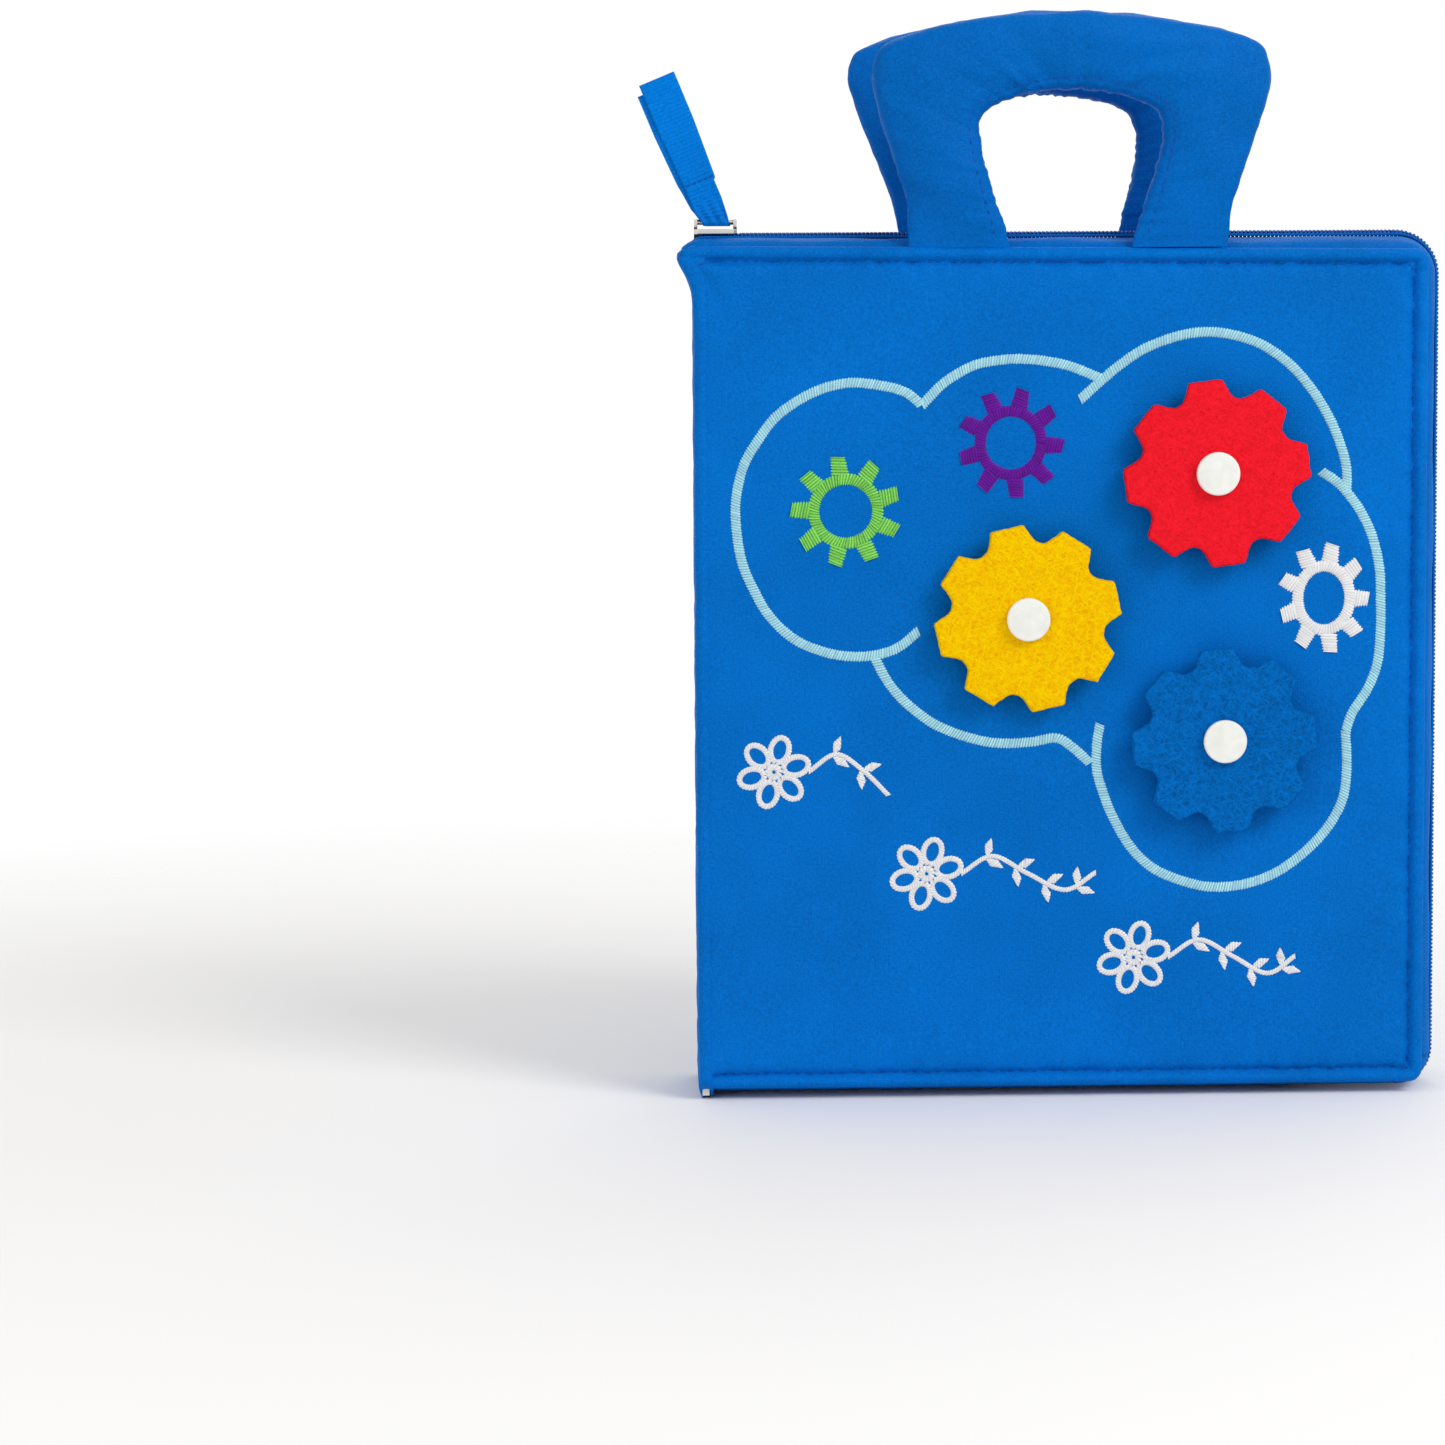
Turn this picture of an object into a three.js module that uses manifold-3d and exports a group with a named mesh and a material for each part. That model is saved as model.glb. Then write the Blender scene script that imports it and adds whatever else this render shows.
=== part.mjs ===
// A child's cloth activity book that zips shut: two padded covers on a padded spine,
// four padded pages sewn into the spine, felt gears that spin on snaps, and two handles.
// Millimetres, +Z up. The book stands closed. +X runs from the spine to the fore edge,
// the front cover faces -Y, and the origin is the foot of the spine at mid thickness.

import * as THREE from 'three';
import Module from 'manifold-3d';
import { mergeVertices } from 'three/addons/utils/BufferGeometryUtils.js';

const wasm = await Module();
wasm.setup();

// Driving dimensions of the covers, spine and zip gusset
const BOOK_WIDTH = 211;
const PANEL_HEIGHT = 242;
const BOOK_THICKNESS = 46;
const PANEL_THICKNESS = 4.5;
const PANEL_EDGE = 1.4;
const CORNER_RADIUS = 7;
const SPINE_CORNER_RADIUS = 2;
const BORDER = 5;
const CROWN_REACH = 30;
const FABRIC = 0.8;
const LINING = 0.6;
const GUSSET_RISE = 3.2;
const GUSSET_CLOTH = 1.2;
const TOP_CREST = 4.4;
const FORE_CREST = 5.8;
const ROW_BEAD = 1;
const ROW_PARTING = 0.9;
const TAPE = 0.6;
const STOP_LENGTH = 1.6;

// Clearances: between pieces that touch, and between pieces that turn past each other
const GAP = 0.3;
const RUN = 0.35;
const SPINE_DROP = 1;

// Pages
const LEAF_THICKNESS = 3;
const LEAF_MARGIN = 8.8;
const LEAF_SETBACK = 13.75;
const LEAF_CORNER = 5;
const LEAF_HEM = 6;
const LEAF_EDGE = 1;
const PLUSH_BAY = 6.05;
const STAR_BAY = 1.95;
const LACE_BAY = 8.45;

// Gears and their snaps
const GEAR_DIAMETER = 55;
const GEAR_FELT = 3.2;
const GEAR_TEETH = 8;
const SNAP_DISC = 10;
const SNAP_DISC_HEIGHT = 0.8;
const SNAP_POST = 4.2;
const SNAP_POST_HEIGHT = 1.8;
const SNAP_SOCKET_HEIGHT = 2;
const CAP_DIAMETER = 12.4;
const CAP_HEIGHT = 2.2;
const CAP_SHANK = 2.6;

// Handles
const HANDLE_WIDTH = 113.4;
const HANDLE_HEIGHT = 67;
const HANDLE_THICKNESS = 13;
const HANDLE_PLACE = 106.6;
const HANDLE_FOOT = 2;

// Zip slider of the cover, and its ribbon
const SLIDER_LENGTH = 12.4;
const SLIDER_PLACE = 4.5;
const SLIDER_WALL = 0.9;
const SLIDER_FLANGE = 1;
const SLIDER_WEDGE = 0.3;
const BAR_RADIUS = 0.8;
const POST_LENGTH = 1;
const RIBBON_WIDTH = 9.2;
const RIBBON_LENGTH = 46;
const RIBBON_CLOTH = 0.6;
const RIBBON_LEAN_SHARE = 0.42;

// What is sewn to the pages
const STAR_RADIUS = 52;
const STAR_ARM = 8;
const STAR_CENTRE = 15;
const STAR_FELT = 0.7;
const HEART_WIDTH = 62;
const HEART_HEIGHT = 56;
const SHOE_WIDTH = 92;
const SHOE_LENGTH = 188;
const SHOE_FOOT = 18;
const SHOE_PLACE = 112;
const COLLAR_CLOTH = 0.8;
const EYELET_HOLE = 5;
const EYELET_RIM = 9.4;
const EYELET_RIM_HEIGHT = 0.5;
const LACE_DIAMETER = 2.5;
const KNOT_WIDTH = 14;
const KNOT_HEIGHT = 12;
const KNOT_DEPTH = 4;
const COAT_PLACE = 90;
const COAT_HALF_WIDTH = 76;
const COAT_RISE = 11.8;
const COAT_HEIGHT = 168;
const COAT_CLOTH = 0.8;
const COAT_ZIP_LENGTH = 92;
const COAT_BEAD = 0.5;
const COAT_PARTING = 0.8;
const COAT_TAPE = 0.5;
const COAT_SLIDER_LENGTH = 8.6;
const COAT_SLIDER_WALL = 0.45;
const COAT_BAR_RADIUS = 0.45;
const COAT_RIBBON_WIDTH = 6.2;
const COAT_RIBBON_LENGTH = 44;
const COAT_RIBBON_CLOTH = 0.4;
const BALLOON_WIDTH = 36;
const BALLOON_HEIGHT = 50;
const BALLOON_THICKNESS = 6.4;
const BALLOON_TAB = 10;
const BALLOON_TAB_CLOTH = 1.6;
const BALLOON_SNAP_DISC = 9;
const BALLOON_SNAP_HEIGHT = 0.7;
const BALLOON_SNAP_POST = 3.4;
const BALLOON_SNAP_POST_HEIGHT = 1.3;
const BALLOON_SOCKET_HEIGHT = 1.5;

// How finely the curves are drawn
const CURVE_STEPS = 10;
const CORNER_STEPS = 5;
const SNAP_SIDES = 12;
const BEAD_SIDES = 8;
const LOOP_SIDES = 12;
const LACE_SIDES = 6;
const HEART_STEPS = 24;
const BALLOON_STEPS = 16;
const ARCH_STEPS = 20;
const PAD_SIDES = 10;
const CORE_START = 2;

// Places worked out from the driving dimensions
const spineHalf = PANEL_THICKNESS / 2;
const innerDepth = BOOK_THICKNESS / 2 - PANEL_THICKNESS;
const hingeDepth = BOOK_THICKNESS / 2 - spineHalf;
const panelLeft = spineHalf + GAP;
const panelRight = BOOK_WIDTH - spineHalf;
const panelFoot = GUSSET_RISE;
const panelTop = panelFoot + PANEL_HEIGHT;
const spineTop = panelTop - SPINE_DROP;
const leafHalf = LEAF_THICKNESS / 2;
const leafHinge = spineHalf + RUN + leafHalf;
const leafLeft = spineHalf + RUN;
const leafLength = panelRight - leafLeft - LEAF_SETBACK;
const leafHeight = PANEL_HEIGHT - 2 * LEAF_MARGIN;
const leafFoot = panelFoot + LEAF_MARGIN;
const leafDepths = [
  PLUSH_BAY - innerDepth + leafHalf,
  PLUSH_BAY + STAR_BAY - innerDepth + leafHalf + LEAF_THICKNESS,
  PLUSH_BAY + STAR_BAY + LACE_BAY - innerDepth + leafHalf + 2 * LEAF_THICKNESS,
  innerDepth - LEAF_THICKNESS + leafHalf - FABRIC,
];

// Colours of the pieces
const colours = {
  cover: 0x0a6cc4, lining: 0x0d63b4, zip: 0x12448f, foam: 0xe8e4da, page: 0xf4f2ee,
  red: 0xf02834, yellow: 0xf7bd10, blue: 0x135f9f, cap: 0xefeee9, metal: 0xc9c7c4,
  coral: 0xf4565a, plush: 0xc20b4a, green: 0x0a9a63, lace: 0xf3f3f1, coat: 0xf0343f,
  purple: 0x4b2387, balloonGreen: 0x3aa344, balloonRed: 0xd8182d, balloonBlue: 0x5aa5dc,
};

const book = new THREE.Group();

// Puts a finished solid in the book as a named piece
function piece(name, geometry, colour, roughness = 0.85, metalness = 0) {
  const material = new THREE.MeshStandardMaterial({ color: colour, roughness, metalness });
  const mesh = new THREE.Mesh(geometry, material);
  mesh.name = name;
  book.add(mesh);
  return mesh;
}

// A ring's points laid flat, leaving out the axis that it faces
function flatten(ring) {
  const normal = new THREE.Vector3();
  ring.forEach((p, i) => {
    const q = ring[(i + 1) % ring.length];
    normal.x += (p.y - q.y) * (p.z + q.z);
    normal.y += (p.z - q.z) * (p.x + q.x);
    normal.z += (p.x - q.x) * (p.y + q.y);
  });
  const size = normal.toArray().map(Math.abs);
  const drop = size.indexOf(Math.max(...size));
  return ring.map((p) => new THREE.Vector2(...p.toArray().filter((_, axis) => axis !== drop)));
}

// Triangles that close a ring, turned to run with its points or against them
function capFaces(ring, forward) {
  const faces = THREE.ShapeUtils.triangulateShape(flatten(ring), []);
  const next = (i) => (i + 1) % ring.length;
  const runs = faces.some(([a, b, c]) => b === next(a) || c === next(b) || a === next(c));
  return runs === forward ? faces : faces.map(([a, b, c]) => [c, b, a]);
}

// A closed solid through rings of equal count, with both end rings capped
function loft(rings) {
  const count = rings[0].length;
  const faces = [];
  for (let r = 0; r < rings.length - 1; r += 1) {
    for (let i = 0; i < count; i += 1) {
      const a = r * count + i;
      const b = r * count + (i + 1) % count;
      faces.push([a, b, b + count], [a, b + count, a + count]);
    }
  }
  const last = (rings.length - 1) * count;
  capFaces(rings[0], false).forEach((face) => faces.push(face));
  capFaces(rings.at(-1), true).forEach((face) => faces.push(face.map((i) => i + last)));
  return closed(rings.flat(), faces);
}

// A geometry from points and faces, turned so that its faces point out
function closed(points, faces) {
  let volume = 0;
  faces.forEach(([a, b, c]) => {
    volume += points[a].dot(new THREE.Vector3().crossVectors(points[b], points[c]));
  });
  const turned = volume < 0 ? faces.map(([a, b, c]) => [a, c, b]) : faces;
  const geometry = new THREE.BufferGeometry();
  geometry.setAttribute('position', new THREE.Float32BufferAttribute(points.flatMap((p) => p.toArray()), 3));
  geometry.setIndex(turned.flat());
  return geometry;
}

// Booleans
function toManifold(geometry) {
  const bare = geometry.clone();
  bare.deleteAttribute('normal');
  bare.deleteAttribute('uv');
  const merged = mergeVertices(bare);
  return new wasm.Manifold(new wasm.Mesh({
    numProp: 3,
    vertProperties: new Float32Array(merged.attributes.position.array),
    triVerts: new Uint32Array(merged.index.array),
  }));
}

function fromManifold(solid) {
  const mesh = solid.getMesh();
  const geometry = new THREE.BufferGeometry();
  geometry.setAttribute('position', new THREE.Float32BufferAttribute(mesh.vertProperties, 3));
  geometry.setIndex(Array.from(mesh.triVerts));
  return geometry;
}

function join(...geometries) {
  return fromManifold(geometries.map(toManifold).reduce((all, next) => all.add(next)));
}

function cut(geometry, ...tools) {
  return fromManifold(tools.map(toManifold).reduce((left, tool) => left.subtract(tool), toManifold(geometry)));
}

// Geometry with each point moved by a rule
function reshape(geometry, rule) {
  const place = geometry.attributes.position;
  const point = new THREE.Vector3();
  for (let i = 0; i < place.count; i += 1) {
    point.fromBufferAttribute(place, i);
    rule(point);
    place.setXYZ(i, point.x, point.y, point.z);
  }
  return geometry;
}

// A block between two corners
function block(low, high) {
  const size = high.map((value, axis) => value - low[axis]);
  const middle = high.map((value, axis) => (value + low[axis]) / 2);
  return new THREE.BoxGeometry(...size).translate(...middle);
}

// A plate cut to an outline in X and Z, from one depth to a deeper one
function plate(outline, near, far, holes = []) {
  const shape = outline instanceof THREE.Shape ? outline : new THREE.Shape(outline);
  holes.forEach((hole) => shape.holes.push(hole));
  const solid = new THREE.ExtrudeGeometry(shape, {
    depth: far - near, bevelEnabled: false, curveSegments: CURVE_STEPS,
  });
  return solid.rotateX(Math.PI / 2).translate(0, far, 0);
}

// A rounded outline in X and Z, counter-clockwise, with its own radius on the left and on the right
function roundedOutline(left, foot, right, top, leftRadius, rightRadius) {
  const corners = [
    [right - rightRadius, foot + rightRadius, rightRadius, -Math.PI / 2],
    [right - rightRadius, top - rightRadius, rightRadius, 0],
    [left + leftRadius, top - leftRadius, leftRadius, Math.PI / 2],
    [left + leftRadius, foot + leftRadius, leftRadius, Math.PI],
  ];
  return corners.flatMap(([x, z, radius, start]) => {
    const points = [];
    for (let i = 0; i <= CORNER_STEPS; i += 1) {
      const angle = start + (i / CORNER_STEPS) * (Math.PI / 2);
      points.push(new THREE.Vector2(x + radius * Math.cos(angle), z + radius * Math.sin(angle)));
    }
    return points;
  });
}

// Drawn-in outlines keep closer to the spine side, where the cloth runs on round the fold
const SPINE_SIDE_SHARE = 0.25;
const CORNER_LEAST = 0.4;

function drawnIn(inset, edge, left, foot, right, top, leftRadius, rightRadius) {
  const leftInset = Math.min(inset, edge) + Math.max(0, inset - edge) * SPINE_SIDE_SHARE;
  return roundedOutline(
    left + leftInset,
    foot + inset,
    right - inset,
    top - inset,
    Math.max(leftRadius - leftInset, CORNER_LEAST),
    Math.max(rightRadius - inset, CORNER_LEAST),
  );
}

function panelOutline(inset) {
  return drawnIn(
    inset, PANEL_EDGE, panelLeft, panelFoot, panelRight, panelTop, SPINE_CORNER_RADIUS, CORNER_RADIUS,
  );
}

function leafOutline(inset) {
  const right = leafLeft + leafLength;
  const top = leafFoot + leafHeight;
  return drawnIn(inset, LEAF_EDGE, leafLeft, leafFoot, right, top, LEAF_EDGE, LEAF_CORNER);
}

// Outline points stood up at a depth from the middle of the book
function atDepth(outline, depth) {
  return outline.map((p) => new THREE.Vector3(p.x, depth, p.y));
}

// Heights of a padded cover, as shares of its thickness: a puffed border, a stitched groove and a crown
const borderShares = [[0.14, 0.55], [0.42, 0.7], [0.72, 0.62], [0.86, 0.47]];
const crownShares = [[0.26, 0.64], [0.44, 0.82], [0.68, 0.94], [1, 1]];

function coverProfile() {
  const border = borderShares.map(([inset, height]) => [inset * BORDER, height * PANEL_THICKNESS]);
  const crown = crownShares.map(([inset, height]) => [inset * CROWN_REACH, height * PANEL_THICKNESS]);
  return [[0, PANEL_EDGE], ...border, ...crown];
}

// The outer cloth of a cover, with the foam and the lining that it holds
function cover(name, side) {
  const profile = coverProfile();
  const crown = profile.slice(-crownShares.length);
  const ring = ([inset, height]) => atDepth(panelOutline(inset), side * (innerDepth + height));
  const inside = crown.map(([inset, height]) => [inset, height - FABRIC]).reverse();
  piece(`${name}_outer`, loft([...inside, [BORDER, 0], [0, 0], ...profile].map(ring)), colours.cover);
  const seat = crown[0][0] + FABRIC;
  const base = LINING + GAP;
  const foam = crown.slice(1).map(([inset, height]) => [inset, height - FABRIC - GAP]);
  const foamEdge = crown[0][1] - FABRIC - GAP;
  piece(`${name}_foam`, loft([[seat, base], [seat, foamEdge], ...foam].map(ring)), colours.foam, 0.95);
  piece(`${name}_lining`, loft([[seat, 0], [seat, LINING]].map(ring)), colours.lining);
}

cover('back_cover', 1);
cover('front_cover', -1);

// The spine: cloth round foam, closed by a lining, with a rolled fold along each edge
function spine() {
  const lip = hingeDepth - spineHalf;
  const wall = spineHalf - FABRIC;
  const pocket = hingeDepth - GUSSET_CLOTH;
  const section = new THREE.Shape();
  section.moveTo(spineHalf, lip);
  section.lineTo(spineHalf, hingeDepth);
  section.absarc(0, hingeDepth, spineHalf, 0, Math.PI, false);
  section.lineTo(-spineHalf, -hingeDepth);
  section.absarc(0, -hingeDepth, spineHalf, Math.PI, 2 * Math.PI, false);
  section.lineTo(spineHalf, -lip);
  section.lineTo(wall - GAP, -lip);
  section.lineTo(wall - GAP, -pocket);
  section.lineTo(-wall, -pocket);
  section.lineTo(-wall, pocket);
  section.lineTo(wall - GAP, pocket);
  section.lineTo(wall - GAP, lip);
  const whole = new THREE.Shape();
  whole.absarc(0, hingeDepth, spineHalf, 0, Math.PI, false);
  whole.absarc(0, -hingeDepth, spineHalf, Math.PI, 2 * Math.PI, false);
  const rise = (shape, foot, top) => {
    const settings = { depth: top - foot, bevelEnabled: false, curveSegments: CURVE_STEPS };
    return new THREE.ExtrudeGeometry(shape, settings).translate(0, 0, foot);
  };
  const cloth = join(
    rise(section, 0, spineTop),
    rise(whole, 0, FABRIC),
    rise(whole, spineTop - FABRIC, spineTop),
  );
  const foot = FABRIC + GAP;
  const top = spineTop - FABRIC - GAP;
  const foamFace = wall - GAP;
  piece('spine_outer', cloth, colours.cover);
  piece('spine_foam', block(
    [-wall + GAP, GAP - pocket, foot],
    [foamFace - GAP, pocket - GAP, top],
  ), colours.foam, 0.95);
  piece('spine_lining', block([foamFace, GAP - lip, foot], [spineHalf, lip - GAP, top]), colours.lining);
}

spine();

const rowDepth = ROW_PARTING / 2 + ROW_BEAD;
const rowRise = GUSSET_RISE - ROW_BEAD - GAP;
const tapeDepth = rowDepth + ROW_BEAD + GAP;
const lipDepth = tapeDepth + GAP;
const slotDepth = lipDepth + 2 * ROW_BEAD;

// The way round the three open edges of a cover: points on the panel's edge, the direction out, and how
// far out the zip row runs. The closed zip draws the gusset up to a ridge, which the book's weight flattens
// along the foot.
function rim(topStart, footStart) {
  const way = [{ x: topStart, z: panelTop, out: [0, 1], crest: TOP_CREST }];
  const corner = (x, z, start, from, to) => {
    for (let i = 0; i <= CORNER_STEPS; i += 1) {
      const share = i / CORNER_STEPS;
      const angle = start - share * (Math.PI / 2);
      const out = [Math.cos(angle), Math.sin(angle)];
      const crest = from + share * (to - from);
      way.push({ x: x + CORNER_RADIUS * out[0], z: z + CORNER_RADIUS * out[1], out, crest });
    }
  };
  corner(panelRight - CORNER_RADIUS, panelTop - CORNER_RADIUS, Math.PI / 2, TOP_CREST, FORE_CREST);
  corner(panelRight - CORNER_RADIUS, panelFoot + CORNER_RADIUS, 0, FORE_CREST, rowRise);
  way.push({ x: footStart, z: panelFoot, out: [0, -1], crest: rowRise });
  return way;
}

// A section, given as depth, rise and its share of the ridge's lift, carried along the rim
function alongRim(way, section, side) {
  return loft(way.map(({ x, z, out, crest }) => section.map(([depth, rise, share = 1]) => {
    const height = rise + share * (crest - rowRise);
    return new THREE.Vector3(x + height * out[0], side * depth, z + height * out[1]);
  })));
}

// The gusset: puffed cloth from the panel's edge to the zip tape
const ridgeShares = { edge: 0.06, shoulder: 0.28, slope: 0.74 };

function gusset(name, side) {
  const edge = innerDepth - GAP;
  const shoulder = edge - GUSSET_RISE;
  const lip = GUSSET_CLOTH / 2;
  const outside = [
    [edge, 0, 0],
    [edge - GUSSET_CLOTH, GUSSET_RISE - GUSSET_CLOTH, ridgeShares.edge],
    [shoulder, GUSSET_RISE, ridgeShares.shoulder],
    [slotDepth + GUSSET_RISE, GUSSET_RISE, ridgeShares.slope],
    [slotDepth, rowRise + lip],
    [lipDepth, rowRise + lip],
  ];
  const inside = [
    [lipDepth, rowRise - lip],
    [slotDepth + lip, rowRise - lip],
    [slotDepth + GUSSET_RISE, GUSSET_RISE - GUSSET_CLOTH, ridgeShares.slope],
    [shoulder, GUSSET_RISE - GUSSET_CLOTH, ridgeShares.shoulder],
    [edge - GUSSET_CLOTH, -lip, ridgeShares.edge],
    [edge, -GUSSET_CLOTH, 0],
  ];
  piece(name, alongRim(rim(panelLeft, panelLeft), [...outside, ...inside], side), colours.cover);
}

gusset('back_gusset', 1);
gusset('front_gusset', -1);

// One row of the zip: the tape with its bead of coil

function rowSection(depth, rise, bead, tapeEnd, tape) {
  const section = [[tapeEnd, rise - tape / 2], [tapeEnd, rise + tape / 2]];
  for (let i = 1; i < BEAD_SIDES; i += 1) {
    const angle = (i / BEAD_SIDES) * 2 * Math.PI;
    section.push([depth + bead * Math.cos(angle), rise + bead * Math.sin(angle)]);
  }
  return section;
}

const sliderLeft = SLIDER_PLACE - SLIDER_LENGTH / 2;
const sliderRight = SLIDER_PLACE + SLIDER_LENGTH / 2;

function zipRow(side, name, topStart) {
  const section = rowSection(rowDepth, rowRise, ROW_BEAD, tapeDepth, TAPE);
  piece(name, alongRim(rim(topStart, panelLeft + STOP_LENGTH + GAP), section, side), colours.zip);
}

zipRow(1, 'back_zip_row', sliderLeft);
zipRow(-1, 'front_zip_row', sliderRight + ROW_BEAD);

// A small metal stop past the foot end of each row
function zipStop(name, side) {
  const depths = [side * (rowDepth - ROW_BEAD), side * (rowDepth + ROW_BEAD)].sort((a, b) => a - b);
  const z = panelFoot - rowRise;
  piece(name, block(
    [panelLeft, depths[0], z - ROW_BEAD],
    [panelLeft + STOP_LENGTH, depths[1], z + ROW_BEAD],
  ), colours.metal, 0.35, 0.9);
}

zipStop('back_zip_stop', 1);
zipStop('front_zip_stop', -1);

// A zip slider in its own axes: X along the zip, Y across it and Z out of it, with Z zero on the rows' middle.
// Two plates with turned-in flanges, a wedge between the rows, and a bar on two posts for the ribbon.
const TAIL_SHARE = 0.84;

function sliderSizes(length, wall, flange, bead, parting, barRadius, cloth) {
  const channel = bead + GAP;
  const half = parting / 2 + 2 * bead + GAP;
  const outer = half + flange;
  const plateTop = channel + wall;
  const loop = barRadius + GAP + cloth;
  const bar = plateTop + GAP + loop;
  return { length, wall, channel, half, outer, plateTop, loop, bar, barRadius, cloth };
}

function zipSlider(s, slotHalf) {
  const nose = s.length / 2;
  const bevel = s.wall;
  const plan = [
    [nose, s.outer * TAIL_SHARE - bevel], [nose - bevel, s.outer * TAIL_SHARE],
    [bevel, s.outer], [bevel - nose, s.outer], [-nose, s.outer - bevel],
  ];
  const outline = [...plan, ...plan.map(([x, y]) => [x, -y]).reverse()];
  const shape = new THREE.Shape(outline.map(([x, y]) => new THREE.Vector2(x, y)));
  const settings = { depth: 2 * s.plateTop, bevelEnabled: false };
  const body = new THREE.ExtrudeGeometry(shape, settings).translate(0, 0, -s.plateTop);
  const reach = s.length;
  const channel = block([-reach, -s.half * TAIL_SHARE, -s.channel], [reach, s.half * TAIL_SHARE, s.channel]);
  const slot = block([-reach, -reach, -slotHalf], [reach, reach, slotHalf]);
  const wedge = block(
    [-nose, -SLIDER_WEDGE / 2, -s.channel - s.wall / 2],
    [-nose + 2 * s.wall + GAP, SLIDER_WEDGE / 2, s.channel + s.wall / 2],
  );
  const post = (x) => block(
    [x, -s.barRadius, s.channel + s.wall / 2],
    [x + POST_LENGTH, s.barRadius, s.bar + s.barRadius],
  );
  const bar = new THREE.CylinderGeometry(s.barRadius, s.barRadius, s.length - POST_LENGTH, BEAD_SIDES)
    .rotateZ(Math.PI / 2).translate(0, 0, s.bar);
  return join(cut(body, channel, slot), wedge, post(-nose), post(nose - POST_LENGTH), bar);
}

// The ribbon looped round the slider's bar and laid double, in the same axes, standing straight out

function pullRibbon(s, width, length) {
  const shape = new THREE.Shape();
  const meet = Math.asin(s.cloth / s.loop);
  const top = s.bar + s.loop * Math.cos(meet);
  shape.moveTo(-s.cloth, s.bar + length);
  shape.lineTo(-s.cloth, top);
  shape.absarc(0, s.bar, s.loop, Math.PI / 2 + meet, 2 * Math.PI + Math.PI / 2 - meet, false);
  shape.lineTo(s.cloth, s.bar + length);
  const hole = new THREE.Path();
  hole.absarc(0, s.bar, s.barRadius + GAP, 0, 2 * Math.PI, true);
  shape.holes.push(hole);
  const settings = { depth: width, bevelEnabled: false, curveSegments: LOOP_SIDES };
  return new THREE.ExtrudeGeometry(shape, settings)
    .rotateX(Math.PI / 2).rotateZ(Math.PI / 2).translate(-width / 2, 0, 0);
}

const mainSlider = sliderSizes(
  SLIDER_LENGTH, SLIDER_WALL, SLIDER_FLANGE, ROW_BEAD, ROW_PARTING, BAR_RADIUS, RIBBON_CLOTH,
);
const rowHeight = panelTop + TOP_CREST;
const mainSlot = GUSSET_CLOTH / 2 + GAP / 2;

piece('zip_slider', zipSlider(mainSlider, mainSlot).translate(SLIDER_PLACE, 0, rowHeight), colours.metal, 0.3, 0.9);

const mainRibbon = reshape(pullRibbon(mainSlider, RIBBON_WIDTH, RIBBON_LENGTH), (p) => {
  const past = Math.max(0, p.z - mainSlider.bar - mainSlider.loop);
  p.x -= RIBBON_LEAN_SHARE * past;
});
piece('zip_pull_ribbon', mainRibbon.translate(SLIDER_PLACE, 0, rowHeight), colours.cover, 0.6);

// A lathe-turned piece with its axis along Y, from radius and depth pairs, facing the front
function turned(profile, sides = SNAP_SIDES) {
  const points = profile.map(([radius, rise]) => new THREE.Vector2(radius, rise));
  return new THREE.LatheGeometry(points, sides).rotateX(Math.PI);
}

// A disc with a post, as the part of a snap that is fixed to cloth
function snapStud(disc, discHeight, post, postHeight) {
  return turned([
    [0, 0], [disc / 2, 0], [disc / 2, discHeight], [post / 2, discHeight],
    [post / 2, discHeight + postHeight], [0, discHeight + postHeight],
  ]);
}

// The ring that clips over the post
function snapSocket(disc, post, height) {
  const bore = post / 2 + GAP;
  return turned([[bore, 0], [disc / 2, 0], [disc / 2, height], [bore, height], [bore, 0]]);
}

// The domed cap, with the shank that goes through the felt
function snapCap(diameter, height, shank, shankLength) {
  const edge = height / 3;
  const dome = diameter / 2 - edge;
  return turned([
    [0, 0], [shank / 2, 0], [shank / 2, shankLength], [diameter / 2, shankLength],
    [diameter / 2, shankLength + edge], [dome, shankLength + height - edge / 2], [0, shankLength + height],
  ]);
}

// A gear cut from thick felt: each tooth narrows to its tip, and the notches have rounded floors.
// Shares are along the pitch, from the middle of a tooth, and out along the radius.
const toothShares = [[-0.227, 1], [0.227, 1], [0.372, 0.866], [0.44, 0.836], [0.56, 0.836], [0.628, 0.866]];

function gearShape(diameter, hole, turn) {
  const pitch = (2 * Math.PI) / GEAR_TEETH;
  const points = [];
  for (let tooth = 0; tooth < GEAR_TEETH; tooth += 1) {
    toothShares.forEach(([along, out]) => {
      const angle = turn + pitch * (tooth + along);
      const radius = (out * diameter) / 2;
      points.push(new THREE.Vector2(radius * Math.cos(angle), radius * Math.sin(angle)));
    });
  }
  const shape = new THREE.Shape(points);
  const bore = new THREE.Path();
  bore.absarc(0, 0, hole / 2, 0, 2 * Math.PI, true);
  shape.holes.push(bore);
  return shape;
}

const gearShares = {
  red: { across: 0.7073, up: 0.7368, turn: 0.271, colour: colours.red },
  yellow: { across: 0.4505, up: 0.5661, turn: 0.286, colour: colours.yellow },
  blue: { across: 0.7183, up: 0.4194, turn: 0.264, colour: colours.blue },
};

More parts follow.
